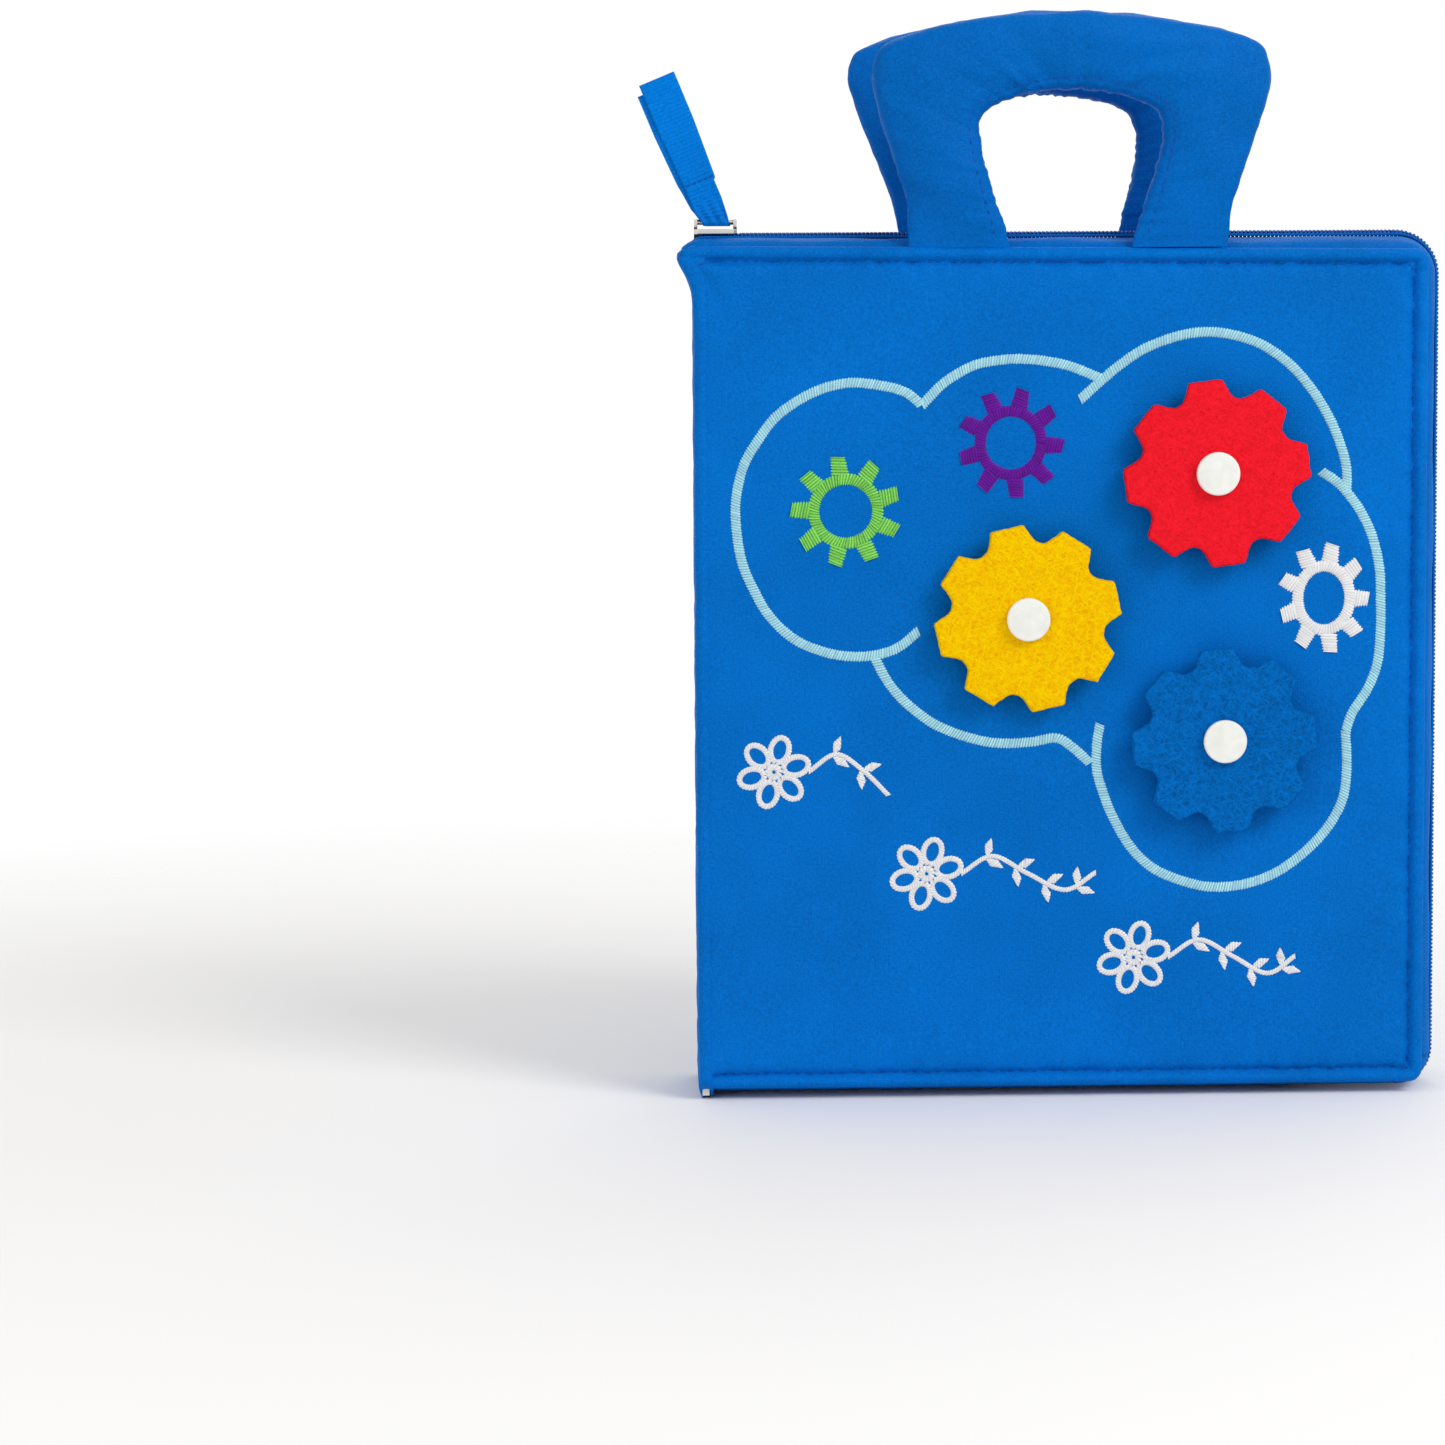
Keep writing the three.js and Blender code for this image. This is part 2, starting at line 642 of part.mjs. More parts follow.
function gear(name, { across, up, turn, colour }) {
  const x = across * BOOK_WIDTH - spineHalf;
  const z = panelFoot + up * PANEL_HEIGHT;
  const face = BOOK_THICKNESS / 2 + GAP;
  const socketFace = face + SNAP_DISC_HEIGHT + GAP;
  const feltFace = socketFace + SNAP_SOCKET_HEIGHT + GAP;
  const capFace = feltFace + GEAR_FELT + GAP;
  const shankEnd = socketFace + SNAP_SOCKET_HEIGHT + GAP;
  const shankLength = capFace - shankEnd;
  const felt = plate(gearShape(GEAR_DIAMETER, CAP_SHANK + 2 * GAP, turn * 2 * Math.PI), 0, GEAR_FELT);
  const stud = snapStud(SNAP_DISC, SNAP_DISC_HEIGHT, SNAP_POST, SNAP_POST_HEIGHT);
  const socket = snapSocket(SNAP_DISC, SNAP_POST, SNAP_SOCKET_HEIGHT);
  const cap = snapCap(CAP_DIAMETER, CAP_HEIGHT, CAP_SHANK, shankLength);
  const front = (geometry, depth) => geometry.translate(x, -depth, z);
  piece(`${name}_gear_stud`, front(stud, face), colours.cap, 0.4);
  piece(`${name}_gear_socket`, front(socket, socketFace), colours.cap, 0.4);
  piece(`${name}_gear`, front(felt, feltFace + GEAR_FELT), colour, 0.95);
  piece(`${name}_gear_cap`, front(cap, shankEnd), colours.cap, 0.35);
}

Object.entries(gearShares).forEach(([name, place]) => gear(name, place));

// A padded handle: a D cut in two cloths and stuffed, lofted between its outer and inner seams
const outerArchShares = [
  [0.79, 0], [0.792, 0.03], [0.8, 0.08], [0.82, 0.2], [0.89, 0.37], [0.955, 0.53],
  [1, 0.69], [0.975, 0.79], [0.9, 0.85], [0.7, 0.915], [0.35, 0.975], [0, 1],
];
const innerArchShares = [
  [0.305, 0], [0.315, 0.03], [0.33, 0.08], [0.365, 0.17], [0.41, 0.29], [0.445, 0.4],
  [0.46, 0.49], [0.44, 0.56], [0.37, 0.61], [0.24, 0.645], [0.12, 0.66], [0, 0.665],
];
const paddingShares = [0.155, 0.2, 0.33, 0.62, 0.9, 1, 1, 1, 1, 1, 1, 1];
const PAD_POWER_SHARE = 0.75;
const SEAM_INSET_SHARE = 2.5;
const handleDepth = innerDepth + GUSSET_CLOTH;
const handleFoot = panelTop + RUN + (Math.SQRT2 - 1) * (HANDLE_FOOT / 2);

function throughBoth(shares) {
  return [...shares, ...shares.slice(0, -1).reverse()];
}

function archCurve(shares) {
  const points = throughBoth(shares).map(([x, z], i) => {
    const side = i < shares.length ? 1 : -1;
    return new THREE.Vector3((side * x * HANDLE_WIDTH) / 2, 0, z * HANDLE_HEIGHT);
  });
  return new THREE.CatmullRomCurve3(points, false, 'catmullrom', 0.5);
}

// Sections of the handle from foot to foot, drawn in by a thickness of cloth
function padRings(inset) {
  const outer = archCurve(outerArchShares);
  const inner = archCurve(innerArchShares);
  const puffs = new THREE.CatmullRomCurve3(
    throughBoth(paddingShares).map((share) => new THREE.Vector3(share * HANDLE_THICKNESS, 0, 0)),
  );
  const rings = [];
  for (let step = 0; step <= ARCH_STEPS; step += 1) {
    const t = step / ARCH_STEPS;
    const seam = outer.getPoint(t);
    const half = inner.getPoint(t).sub(seam).multiplyScalar(0.5);
    const middle = seam.clone().add(half);
    const across = half.setLength(half.length() - inset * SEAM_INSET_SHARE);
    const puff = puffs.getPoint(t).x / 2 - inset;
    const ring = [];
    for (let i = 0; i < PAD_SIDES; i += 1) {
      const angle = (i / PAD_SIDES) * 2 * Math.PI;
      const swell = Math.sign(Math.sin(angle)) * Math.abs(Math.sin(angle)) ** PAD_POWER_SHARE;
      const point = middle.clone().addScaledVector(across, Math.cos(angle));
      ring.push(point.add(new THREE.Vector3(0, puff * swell, 0)));
    }
    rings.push(ring);
  }
  return rings;
}

function handle(name, side) {
  const place = (geometry) => geometry.translate(HANDLE_PLACE, side * handleDepth, handleFoot);
  const bore = padRings(LINING);
  [bore[0], bore.at(-1)].forEach((ring) => ring.forEach((p) => { p.z -= GAP; }));
  const core = padRings(LINING + GAP).slice(CORE_START, -CORE_START);
  piece(`${name}_cover`, place(cut(loft(padRings(0)), loft(bore))), colours.cover);
  piece(`${name}_core`, place(loft(core)), colours.foam, 0.95);
}

handle('front_handle', -1);
handle('back_handle', 1);

// Pages: padded cloth with a stitched hem, thick to the root, where each is sewn into the spine
const leafShares = [[0, 0.3], [0.17, 0.85], [0.75, 1], [0.92, 0.7], [1.09, 1], [1.6, 1]];

function leaf(name, depth) {
  const ring = ([inset, height], side) => (
    atDepth(leafOutline(inset * LEAF_HEM), depth + side * height * leafHalf)
  );
  const front = leafShares.map((share) => ring(share, -1)).reverse();
  const back = leafShares.map((share) => ring(share, 1));
  piece(name, loft([...front, ...back]), colours.page, 0.9);
}

leafDepths.forEach((depth, i) => leaf(`leaf_${i + 1}`, depth));

// A place on a page: across from the page's root and up from its foot
const pageX = (across) => leafLeft + across;
const pageZ = (up) => leafFoot + up;

// A padded form: an outline round a centre, swelling to both sides
const swellShares = [[0.3, 1], [0.6, 0.94], [0.84, 0.7], [0.96, 0.4], [1, 0.12]];

function stuffed(outline, thickness, depth) {
  const ring = ([scale, height], side) => outline.map((p) => (
    new THREE.Vector3(p.x * scale, depth + (side * height * thickness) / 2, p.y * scale)
  ));
  const front = swellShares.map((share) => ring(share, -1));
  const back = swellShares.map((share) => ring(share, 1)).reverse();
  return loft([...front, ...back]);
}

// Page 1, front: a stuffed heart, its point just past the foot of the page
const heartShares = { across: 0.6, pointUp: -0.024, waves: [0.448, -0.172, -0.069, -0.034], lift: 0.08 };

function heart() {
  const outline = [];
  for (let i = 0; i < HEART_STEPS; i += 1) {
    const t = (i / HEART_STEPS) * 2 * Math.PI;
    const x = Math.sin(t) ** 3;
    const z = heartShares.waves.reduce((sum, wave, n) => sum + wave * Math.cos((n + 1) * t), heartShares.lift);
    outline.push(new THREE.Vector2((x * HEART_WIDTH) / 2, z * HEART_HEIGHT));
  }
  const face = leafDepths[0] - leafHalf;
  const thickness = PLUSH_BAY - 2 * GAP;
  const lowest = Math.min(...outline.map((p) => p.y));
  const up = heartShares.pointUp * leafHeight - lowest;
  const form = stuffed(outline, thickness, face - GAP - thickness / 2);
  piece('plush_heart', form.translate(pageX(heartShares.across * leafLength), 0, pageZ(up)), colours.plush);
}

heart();

// Page 1, back: a felt star with round arms, and the disc in its middle
const starShares = { across: 0.52, up: 0.4, arms: 5 };

function star() {
  const waist = STAR_CENTRE + STAR_ARM;
  const points = [];
  for (let arm = 0; arm < starShares.arms; arm += 1) {
    const angle = Math.PI / 2 + (arm / starShares.arms) * 2 * Math.PI;
    const tip = new THREE.Vector2(STAR_RADIUS - STAR_ARM / 2, 0);
    for (let i = 0; i <= CORNER_STEPS; i += 1) {
      const round = -Math.PI / 2 + (i / CORNER_STEPS) * Math.PI;
      const point = new THREE.Vector2(Math.cos(round), Math.sin(round)).multiplyScalar(STAR_ARM / 2);
      points.push(point.add(tip).rotateAround(new THREE.Vector2(), angle));
    }
    const valley = new THREE.Vector2(waist, 0);
    points.push(valley.rotateAround(new THREE.Vector2(), angle + Math.PI / starShares.arms));
  }
  const x = pageX(starShares.across * leafLength);
  const z = pageZ(starShares.up * leafHeight);
  const face = leafDepths[0] + leafHalf + GAP;
  const hole = new THREE.Path();
  hole.absarc(0, 0, STAR_CENTRE, 0, 2 * Math.PI, true);
  const disc = new THREE.Shape();
  disc.absarc(0, 0, STAR_CENTRE - GAP, 0, 2 * Math.PI, false);
  piece('star_patch', plate(points, face, face + STAR_FELT, [hole]).translate(x, 0, z), colours.coral);
  piece('star_centre', plate(disc, face, face + STAR_FELT).translate(x, 0, z), colours.yellow);
}

star();

// Page 2: the shoe's collar with its two eyelets, and the lace tied in a bow
const collarShares = {
  tip: [0.39, 0.55], heel: [0, 0.032], waist: [0.41, 0.42], side: [0.4, 0.1],
  tongue: [0.11, 0.5], lobe: [0.08, 0.39], opening: [0.21, 0.145], openingUp: 0.215,
  eyelet: [0.165, 0.4], knotUp: 0.455,
};
const alongShoe = (share) => SHOE_FOOT + share * SHOE_LENGTH;
const shoeX = pageX(SHOE_PLACE);
const shoeFace = leafDepths[1] + leafHalf + GAP;
const eyeletPlaces = [-1, 1].map((side) => [
  shoeX + side * collarShares.eyelet[0] * SHOE_WIDTH,
  pageZ(alongShoe(collarShares.eyelet[1])),
]);

function collar() {
  const s = collarShares;
  const x = (share) => share * SHOE_WIDTH;
  const z = alongShoe;
  const shape = new THREE.Shape();
  shape.moveTo(x(s.tip[0]), z(s.tip[1]));
  shape.lineTo(x(s.tongue[0]), z(s.tongue[1]));
  shape.lineTo(x(s.lobe[0]), z(s.lobe[1]));
  shape.absellipse(
    0, z(s.openingUp), x(s.opening[0]), s.opening[1] * SHOE_LENGTH, Math.PI * 0.36, Math.PI * 0.64, true, 0,
  );
  shape.lineTo(-x(s.lobe[0]), z(s.lobe[1]));
  shape.lineTo(-x(s.tongue[0]), z(s.tongue[1]));
  shape.lineTo(-x(s.tip[0]), z(s.tip[1]));
  shape.bezierCurveTo(-x(s.waist[0]), z(s.waist[1]), -x(s.side[0]), z(s.heel[1]), 0, z(s.heel[1]));
  shape.bezierCurveTo(x(s.side[0]), z(s.heel[1]), x(s.waist[0]), z(s.waist[1]), x(s.tip[0]), z(s.tip[1]));
  const flat = plate(shape, shoeFace, shoeFace + COLLAR_CLOTH).translate(shoeX, 0, pageZ(0));
  const holes = eyeletPlaces.map(([ex, ez]) => (
    turned([[0, -COLLAR_CLOTH], [EYELET_HOLE / 2 + GAP * 2, -COLLAR_CLOTH],
      [EYELET_HOLE / 2 + GAP * 2, 2 * COLLAR_CLOTH], [0, 2 * COLLAR_CLOTH]])
      .translate(ex, shoeFace + COLLAR_CLOTH, ez)
  ));
  piece('shoe_collar', cut(flat, ...holes), colours.green);
}

collar();

function eyelets() {
  const inside = EYELET_HOLE / 2;
  const barrel = inside + GAP;
  const top = COLLAR_CLOTH + GAP;
  const profile = [
    [inside, 0], [barrel, 0], [barrel, -top], [EYELET_RIM / 2, -top],
    [EYELET_RIM / 2, -top - EYELET_RIM_HEIGHT], [inside, -top - EYELET_RIM_HEIGHT], [inside, 0],
  ].reverse();
  eyeletPlaces.forEach(([x, z], i) => {
    piece(`shoe_eyelet_${i + 1}`, turned(profile).translate(x, shoeFace, z), colours.lace, 0.5);
  });
}

eyelets();

// The lace, by points chosen along each strand: across and up from the knot, in the plane of the page
const laceDepth = shoeFace + COLLAR_CLOTH + GAP + EYELET_RIM_HEIGHT + LACE_DIAMETER / 2 + GAP;
const knotZ = pageZ(alongShoe(collarShares.knotUp));

const laceStrands = [
  [[15.2, -10.3], [10.4, -7.4], [3.4, -2.6]],
  [[-15.2, -10.3], [-10.4, -7.6], [-3.4, -2.6]],
  [[4.6, -2], [16, -5.4], [27, -8], [38, -8.6], [44, -4.6], [43, 1.2], [34, 3.6], [20, 2.4], [4.6, 1.4]],
  [[3, 3.6], [15, 9], [25, 12.6], [36, 14.6], [46, 14]],
  [[-2.4, 3.6], [-10, 13], [-19, 21], [-27, 27], [-34, 26], [-35, 19], [-28, 12.6], [-17, 7.6], [-4.6, 2]],
  [[-4.6, -0.8], [-16, -1.8], [-24, -1], [-31, -2.6]],
];

function laceTube(strand) {
  const points = strand.map(([x, z]) => new THREE.Vector3(shoeX + x, laceDepth, knotZ + z));
  const curve = new THREE.CatmullRomCurve3(points, false, 'centripetal');
  const section = new THREE.Shape();
  section.absarc(0, 0, LACE_DIAMETER / 2, 0, 2 * Math.PI, false);
  return new THREE.ExtrudeGeometry(section, {
    extrudePath: curve,
    steps: Math.ceil(curve.getLength() / (2 * LACE_DIAMETER)),
    curveSegments: LACE_SIDES / 2,
  });
}

function lace() {
  const outline = [];
  for (let i = 0; i < PAD_SIDES; i += 1) {
    const angle = (i / PAD_SIDES) * 2 * Math.PI;
    outline.push(new THREE.Vector2((KNOT_WIDTH / 2) * Math.cos(angle), (KNOT_HEIGHT / 2) * Math.sin(angle)));
  }
  const base = laceDepth - LACE_DIAMETER / 2;
  const knot = stuffed(outline, KNOT_DEPTH, base + KNOT_DEPTH / 2).translate(shoeX, 0, knotZ);
  piece('shoe_lace', join(knot, ...laceStrands.map(laceTube)), colours.lace, 0.7);
}

lace();

// Page 3: a little coat with a zip down its front, placed from the middle of the page
const coatFoot = (leafHeight - COAT_HEIGHT) / 2 + COAT_RISE;
const coatX = pageX(COAT_PLACE);
const coatFace = leafDepths[2] - leafHalf - GAP;
const coatSlider = sliderSizes(
  COAT_SLIDER_LENGTH, COAT_SLIDER_WALL, COAT_SLIDER_WALL, COAT_BEAD, COAT_PARTING, COAT_BAR_RADIUS, COAT_RIBBON_CLOTH,
);
const coatRow = coatFace - coatSlider.plateTop;
const coatShares = [
  [0.2, 1], [0.55, 0.965], [0.74, 0.9], [0.78, 0.72], [0.46, 0.76], [0.42, 0.66], [0.66, 0.32],
  [0.97, 0.05], [1, 0.015], [0.5, 0],
];

function coat() {
  const slit = coatSlider.outer + GAP;
  const slitFoot = COAT_HEIGHT - COAT_ZIP_LENGTH;
  const half = coatShares.map(([x, z]) => [x * COAT_HALF_WIDTH, z * COAT_HEIGHT]);
  const outline = [
    [slit, COAT_HEIGHT], ...half, ...half.map(([x, z]) => [-x, z]).reverse(),
    [-slit, COAT_HEIGHT], [-slit, slitFoot], [slit, slitFoot],
  ].reverse();
  const points = outline.map(([x, z]) => new THREE.Vector2(x, z));
  const patch = plate(points, coatFace - COAT_CLOTH, coatFace);
  piece('coat_patch', patch.translate(coatX, 0, pageZ(coatFoot)), colours.coat);
  const foot = pageZ(coatFoot + slitFoot) + GAP;
  const top = pageZ(coatFoot + COAT_HEIGHT) - GAP;
  const depth = COAT_PARTING / 2 + COAT_BEAD;
  const section = rowSection(depth, 0, COAT_BEAD, slit + 2 * COAT_BEAD, COAT_TAPE);
  const rows = [-1, 1].map((side) => loft([foot, top].map((z) => section.map(([across, rise]) => (
    new THREE.Vector3(coatX + side * across, coatRow - rise, z)
  )))));
  const stop = block(
    [coatX - depth - COAT_BEAD, coatRow - COAT_BEAD, foot + GAP],
    [coatX + depth + COAT_BEAD, coatRow + COAT_BEAD, foot + GAP + STOP_LENGTH],
  );
  piece('coat_zip', join(...rows, stop), colours.page, 0.8);
  const z = top - COAT_SLIDER_LENGTH / 2 - GAP;
  const body = zipSlider(coatSlider, COAT_TAPE / 2 + GAP).rotateY(Math.PI / 2).rotateZ(-Math.PI / 2);
  piece('coat_zip_slider', body.translate(coatX, coatRow, z), colours.metal, 0.3, 0.9);
  const over = coatRow - coatSlider.plateTop - GAP;
  piece('coat_pull_ribbon', plate(ribbonOutline(z), over - COAT_RIBBON_CLOTH, over), colours.coat, 0.6);
}

// The ribbon goes under the slider's bar, is folded down on both sides and hangs in two tails
function ribbonOutline(z) {
  const half = COAT_RIBBON_WIDTH / 2;
  const inner = coatSlider.outer + GAP;
  const outer = inner + COAT_RIBBON_WIDTH;
  const right = [
    [inner, z - half], [inner, z - COAT_RIBBON_LENGTH], [outer, z - COAT_RIBBON_LENGTH + half],
    [outer, z - half], [inner, z + half],
  ];
  const outline = [...right, ...right.map(([x, up]) => [-x, up]).reverse()];
  return outline.map(([x, up]) => new THREE.Vector2(coatX + x, up));
}

coat();

// Page 4: four stuffed balloons, each on a snap through the tab at its neck
const balloonShares = {
  purple: { across: 0.15, up: 0.37, colour: colours.purple },
  green: { across: 0.37, up: 0.6, colour: colours.balloonGreen },
  red: { across: 0.595, up: 0.66, colour: colours.balloonRed },
  blue: { across: 0.82, up: 0.62, colour: colours.balloonBlue },
};
const BALLOON_TAPER_SHARE = 0.16;

function balloon(name, { across, up, colour }) {
  const outline = [];
  for (let i = 0; i < BALLOON_STEPS; i += 1) {
    const angle = (i / BALLOON_STEPS) * 2 * Math.PI;
    const taper = 1 + BALLOON_TAPER_SHARE * Math.sin(angle);
    outline.push(new THREE.Vector2(
      (BALLOON_WIDTH / 2) * taper * Math.cos(angle),
      (BALLOON_HEIGHT / 2) * Math.sin(angle),
    ));
  }
  const face = leafDepths[3] - leafHalf - GAP;
  const socketFace = face - BALLOON_SNAP_HEIGHT - GAP;
  const middle = socketFace - BALLOON_SOCKET_HEIGHT - GAP - BALLOON_TAB_CLOTH / 2;
  const rise = BALLOON_HEIGHT / 2 + BALLOON_TAB / 2;
  const body = stuffed(outline, BALLOON_THICKNESS, middle).translate(0, 0, rise);
  const tab = block(
    [-BALLOON_TAB / 2, middle - BALLOON_TAB_CLOTH / 2, -BALLOON_TAB / 2],
    [BALLOON_TAB / 2, middle + BALLOON_TAB_CLOTH / 2, BALLOON_TAB],
  );
  const x = pageX(across * leafLength);
  const z = pageZ(up * leafHeight);
  const stud = snapStud(BALLOON_SNAP_DISC, BALLOON_SNAP_HEIGHT, BALLOON_SNAP_POST, BALLOON_SNAP_POST_HEIGHT);
  const socket = snapSocket(BALLOON_SNAP_DISC, BALLOON_SNAP_POST, BALLOON_SOCKET_HEIGHT);
  piece(`${name}_balloon`, join(body, tab).translate(x, 0, z), colour);
  piece(`${name}_balloon_stud`, stud.translate(x, face, z), colours.cap, 0.4);
  piece(`${name}_balloon_socket`, socket.translate(x, socketFace, z), colours.cap, 0.4);
}

Object.entries(balloonShares).forEach(([name, place]) => balloon(name, place));

export default book;
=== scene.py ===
# %% [markdown]
# # A cloth activity book with a zip
# The book stands closed. Its CAD model is loaded first and fixes every size and place: +X runs from the
# spine to the fore edge, the front cover faces -Y and +Z points up to the handles. Each soft CAD solid
# is then replaced by a cloth piece of the same size, with its seams, stitches and weave.

import math

import bpy
import numpy as np
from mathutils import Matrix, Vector, noise
from mathutils.bvhtree import BVHTree


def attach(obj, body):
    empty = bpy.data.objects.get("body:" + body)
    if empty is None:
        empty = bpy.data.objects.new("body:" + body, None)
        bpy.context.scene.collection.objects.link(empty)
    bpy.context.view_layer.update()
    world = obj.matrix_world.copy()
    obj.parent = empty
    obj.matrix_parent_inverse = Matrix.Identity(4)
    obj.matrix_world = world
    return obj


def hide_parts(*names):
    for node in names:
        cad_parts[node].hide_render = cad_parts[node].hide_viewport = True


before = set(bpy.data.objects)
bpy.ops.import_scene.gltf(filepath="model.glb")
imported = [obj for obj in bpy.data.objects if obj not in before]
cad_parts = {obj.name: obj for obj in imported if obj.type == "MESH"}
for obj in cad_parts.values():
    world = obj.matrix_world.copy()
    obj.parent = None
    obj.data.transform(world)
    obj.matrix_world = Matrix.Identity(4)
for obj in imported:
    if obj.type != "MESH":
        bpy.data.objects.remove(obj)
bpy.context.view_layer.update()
MM = 0.001
bpy.ops.object.select_all(action="DESELECT")

# %% [markdown]
# ## Camera
# The photograph was taken from about 1.2 m, almost square on and a little from above, with a long lens,
# so the book's edges stay nearly parallel. A small lens shift keeps the uprights upright.

# %% Camera
bpy.ops.object.camera_add(
    location=(-0.0135, -1.261, 0.2446),
    rotation=[math.radians(turn) for turn in (84.5055, 0.2993, -1.7075)],
)
camera = bpy.context.object
camera.data.sensor_width = 36
camera.data.lens = 107.9
camera.data.shift_x = -0.0419
camera.data.shift_y = -0.0361
camera.data.clip_end = 20
bpy.context.scene.camera = camera
print("lens", camera.data.lens, "mm")

# %% [markdown]
# ## Light, floor and background
# A soft key lamp from the upper right, a weaker fill from the left and an even grey world light the book
# so that a colour renders about as it is written. The background is white where the camera sees it,
# because the world shows white to camera, glossy and transmission rays only.

# %% World light and background
scene = bpy.context.scene
scene.view_settings.view_transform = "Standard"


def add_node(material, kind, **inputs):
    """A new node with the given inputs set, by name."""
    node = material.node_tree.nodes.new(kind)
    for name, value in inputs.items():
        node.inputs[name.replace("_", " ")].default_value = value
    return node


def wire(material, out, into):
    material.node_tree.links.new(out, into)


def add_math(material, operation, a, b):
    node = add_node(material, "ShaderNodeMath")
    node.operation = operation
    for value, socket in ((a, node.inputs[0]), (b, node.inputs[1])):
        if isinstance(value, (int, float)):
            socket.default_value = value
        else:
            wire(material, value, socket)
    return node.outputs[0]


def camera_sees(material):
    """1 for rays that show the background to the camera, directly or through gloss and glass."""
    rays = add_node(material, "ShaderNodeLightPath").outputs
    seen = add_math(material, "MAXIMUM", rays["Is Camera Ray"], rays["Is Glossy Ray"])
    return add_math(material, "MAXIMUM", seen, rays["Is Transmission Ray"])


world = bpy.data.worlds.new("studio")
scene.world = world
world.use_nodes = True
even_light = world.node_tree.nodes["Background"]
even_light.inputs["Color"].default_value = (1, 1, 1, 1)
even_light.inputs["Strength"].default_value = 0.62
white_back = add_node(world, "ShaderNodeBackground", Color=(1, 1, 1, 1), Strength=1.0)
mix_world = add_node(world, "ShaderNodeMixShader")
wire(world, camera_sees(world), mix_world.inputs[0])
wire(world, even_light.outputs[0], mix_world.inputs[1])
wire(world, white_back.outputs[0], mix_world.inputs[2])
wire(world, mix_world.outputs[0], world.node_tree.nodes["World Output"].inputs["Surface"])
print("even light:", round(even_light.inputs["Strength"].default_value, 2))


# %% Lamps
def add_lamp(name, place, aim, width, power):
    bpy.ops.object.light_add(type="AREA", location=place)
    lamp = bpy.context.object
    lamp.name = name
    lamp.data.size = width
    lamp.data.energy = power
    lamp.rotation_euler = (Vector(aim) - Vector(place)).to_track_quat("-Z", "Y").to_euler()
    return lamp


book_middle = (0.105, 0, 0.13)
add_lamp("key_lamp", (0.8, -0.72, 0.88), book_middle, 0.55, 6.8)
add_lamp("fill_lamp", (-1.1, -1.0, 0.55), book_middle, 0.9, 3.4)
add_lamp("back_lamp", (0.3, 1.3, 1.1), book_middle, 0.9, 4.0)

# %% Floor
bpy.ops.mesh.primitive_circle_add(vertices=64, radius=2.2, fill_type="NGON", location=(0, 0, 0))
floor = bpy.context.object
floor.name = "floor"
paper = bpy.data.materials.new("white_floor")
paper.use_nodes = True
paper_shader = paper.node_tree.nodes["Principled BSDF"]
paper_shader.inputs["Base Color"].default_value = (0.985, 0.968, 0.948, 1)
paper_shader.inputs["Roughness"].default_value = 0.9
paper_shader.inputs["Specular IOR Level"].default_value = 0.1
paper_place = add_node(paper, "ShaderNodeTexCoord")
paper_far = add_node(paper, "ShaderNodeVectorMath")
paper_far.operation = "LENGTH"
paper_fade = add_node(paper, "ShaderNodeMapRange", From_Min=0.17, From_Max=0.62)
paper_clear = add_node(paper, "ShaderNodeBsdfTransparent")
paper_mix = add_node(paper, "ShaderNodeMixShader")
wire(paper, paper_place.outputs["Object"], paper_far.inputs[0])
wire(paper, paper_far.outputs["Value"], paper_fade.inputs["Value"])
wire(paper, paper_fade.outputs["Result"], paper_mix.inputs[0])
wire(paper, paper_shader.outputs[0], paper_mix.inputs[1])
wire(paper, paper_clear.outputs[0], paper_mix.inputs[2])
wire(paper, paper_mix.outputs[0], paper.node_tree.nodes["Material Output"].inputs["Surface"])
floor.data.materials.append(paper)
print("the floor fades out", paper_fade.inputs["From Max"].default_value, "m from its middle")

# %% [markdown]
# ## Finishes
# Cloth could be an image texture, but a pattern made by nodes keeps its scale on every piece. All
# patterns read Object coordinates, which are metres here, so a weave of 0.8 mm is the same on a cover,
# a handle and a ribbon. Each finish has a bump for its threads and a slow change of tone.

# %% Cloth finish
def linear(colour):
    """A colour as seen on screen, 0 to 255, as the linear colour that a shader needs."""
    return tuple((c / 255 / 12.92) if c <= 10 else ((c / 255 + 0.055) / 1.055) ** 2.4 for c in colour)


def start_material(name, colour, roughness, specular=0.3):
    material = bpy.data.materials.new(name)
    material.use_nodes = True
    shader = material.node_tree.nodes["Principled BSDF"]
    shader.inputs["Base Color"].default_value = (*linear(colour), 1)
    shader.inputs["Roughness"].default_value = roughness
    shader.inputs["Specular IOR Level"].default_value = specular
    place = add_node(material, "ShaderNodeTexCoord")
    return material, shader, place.outputs["Object"]


def add_noise(material, place, scale, detail=2.0, roughness=0.5):
    node = add_node(material, "ShaderNodeTexNoise", Scale=scale, Detail=detail, Roughness=roughness)
    wire(material, place, node.inputs["Vector"])
    return node.outputs["Fac"]


def add_tone(material, shader, factor, dark, light):
    """Base colour that runs from dark to light along a factor."""
    ramp = add_node(material, "ShaderNodeValToRGB")
    ramp.color_ramp.elements[0].position = 0.3
    ramp.color_ramp.elements[1].position = 0.7
    ramp.color_ramp.elements[0].color = (*linear(dark), 1)
    ramp.color_ramp.elements[1].color = (*linear(light), 1)
    wire(material, factor, ramp.inputs["Fac"])
    wire(material, ramp.outputs["Color"], shader.inputs["Base Color"])


def add_bump(material, shader, height, depth, strength=1.0):
    bump = add_node(material, "ShaderNodeBump", Strength=strength, Distance=depth)
    wire(material, height, bump.inputs["Height"])
    wire(material, bump.outputs["Normal"], shader.inputs["Normal"])


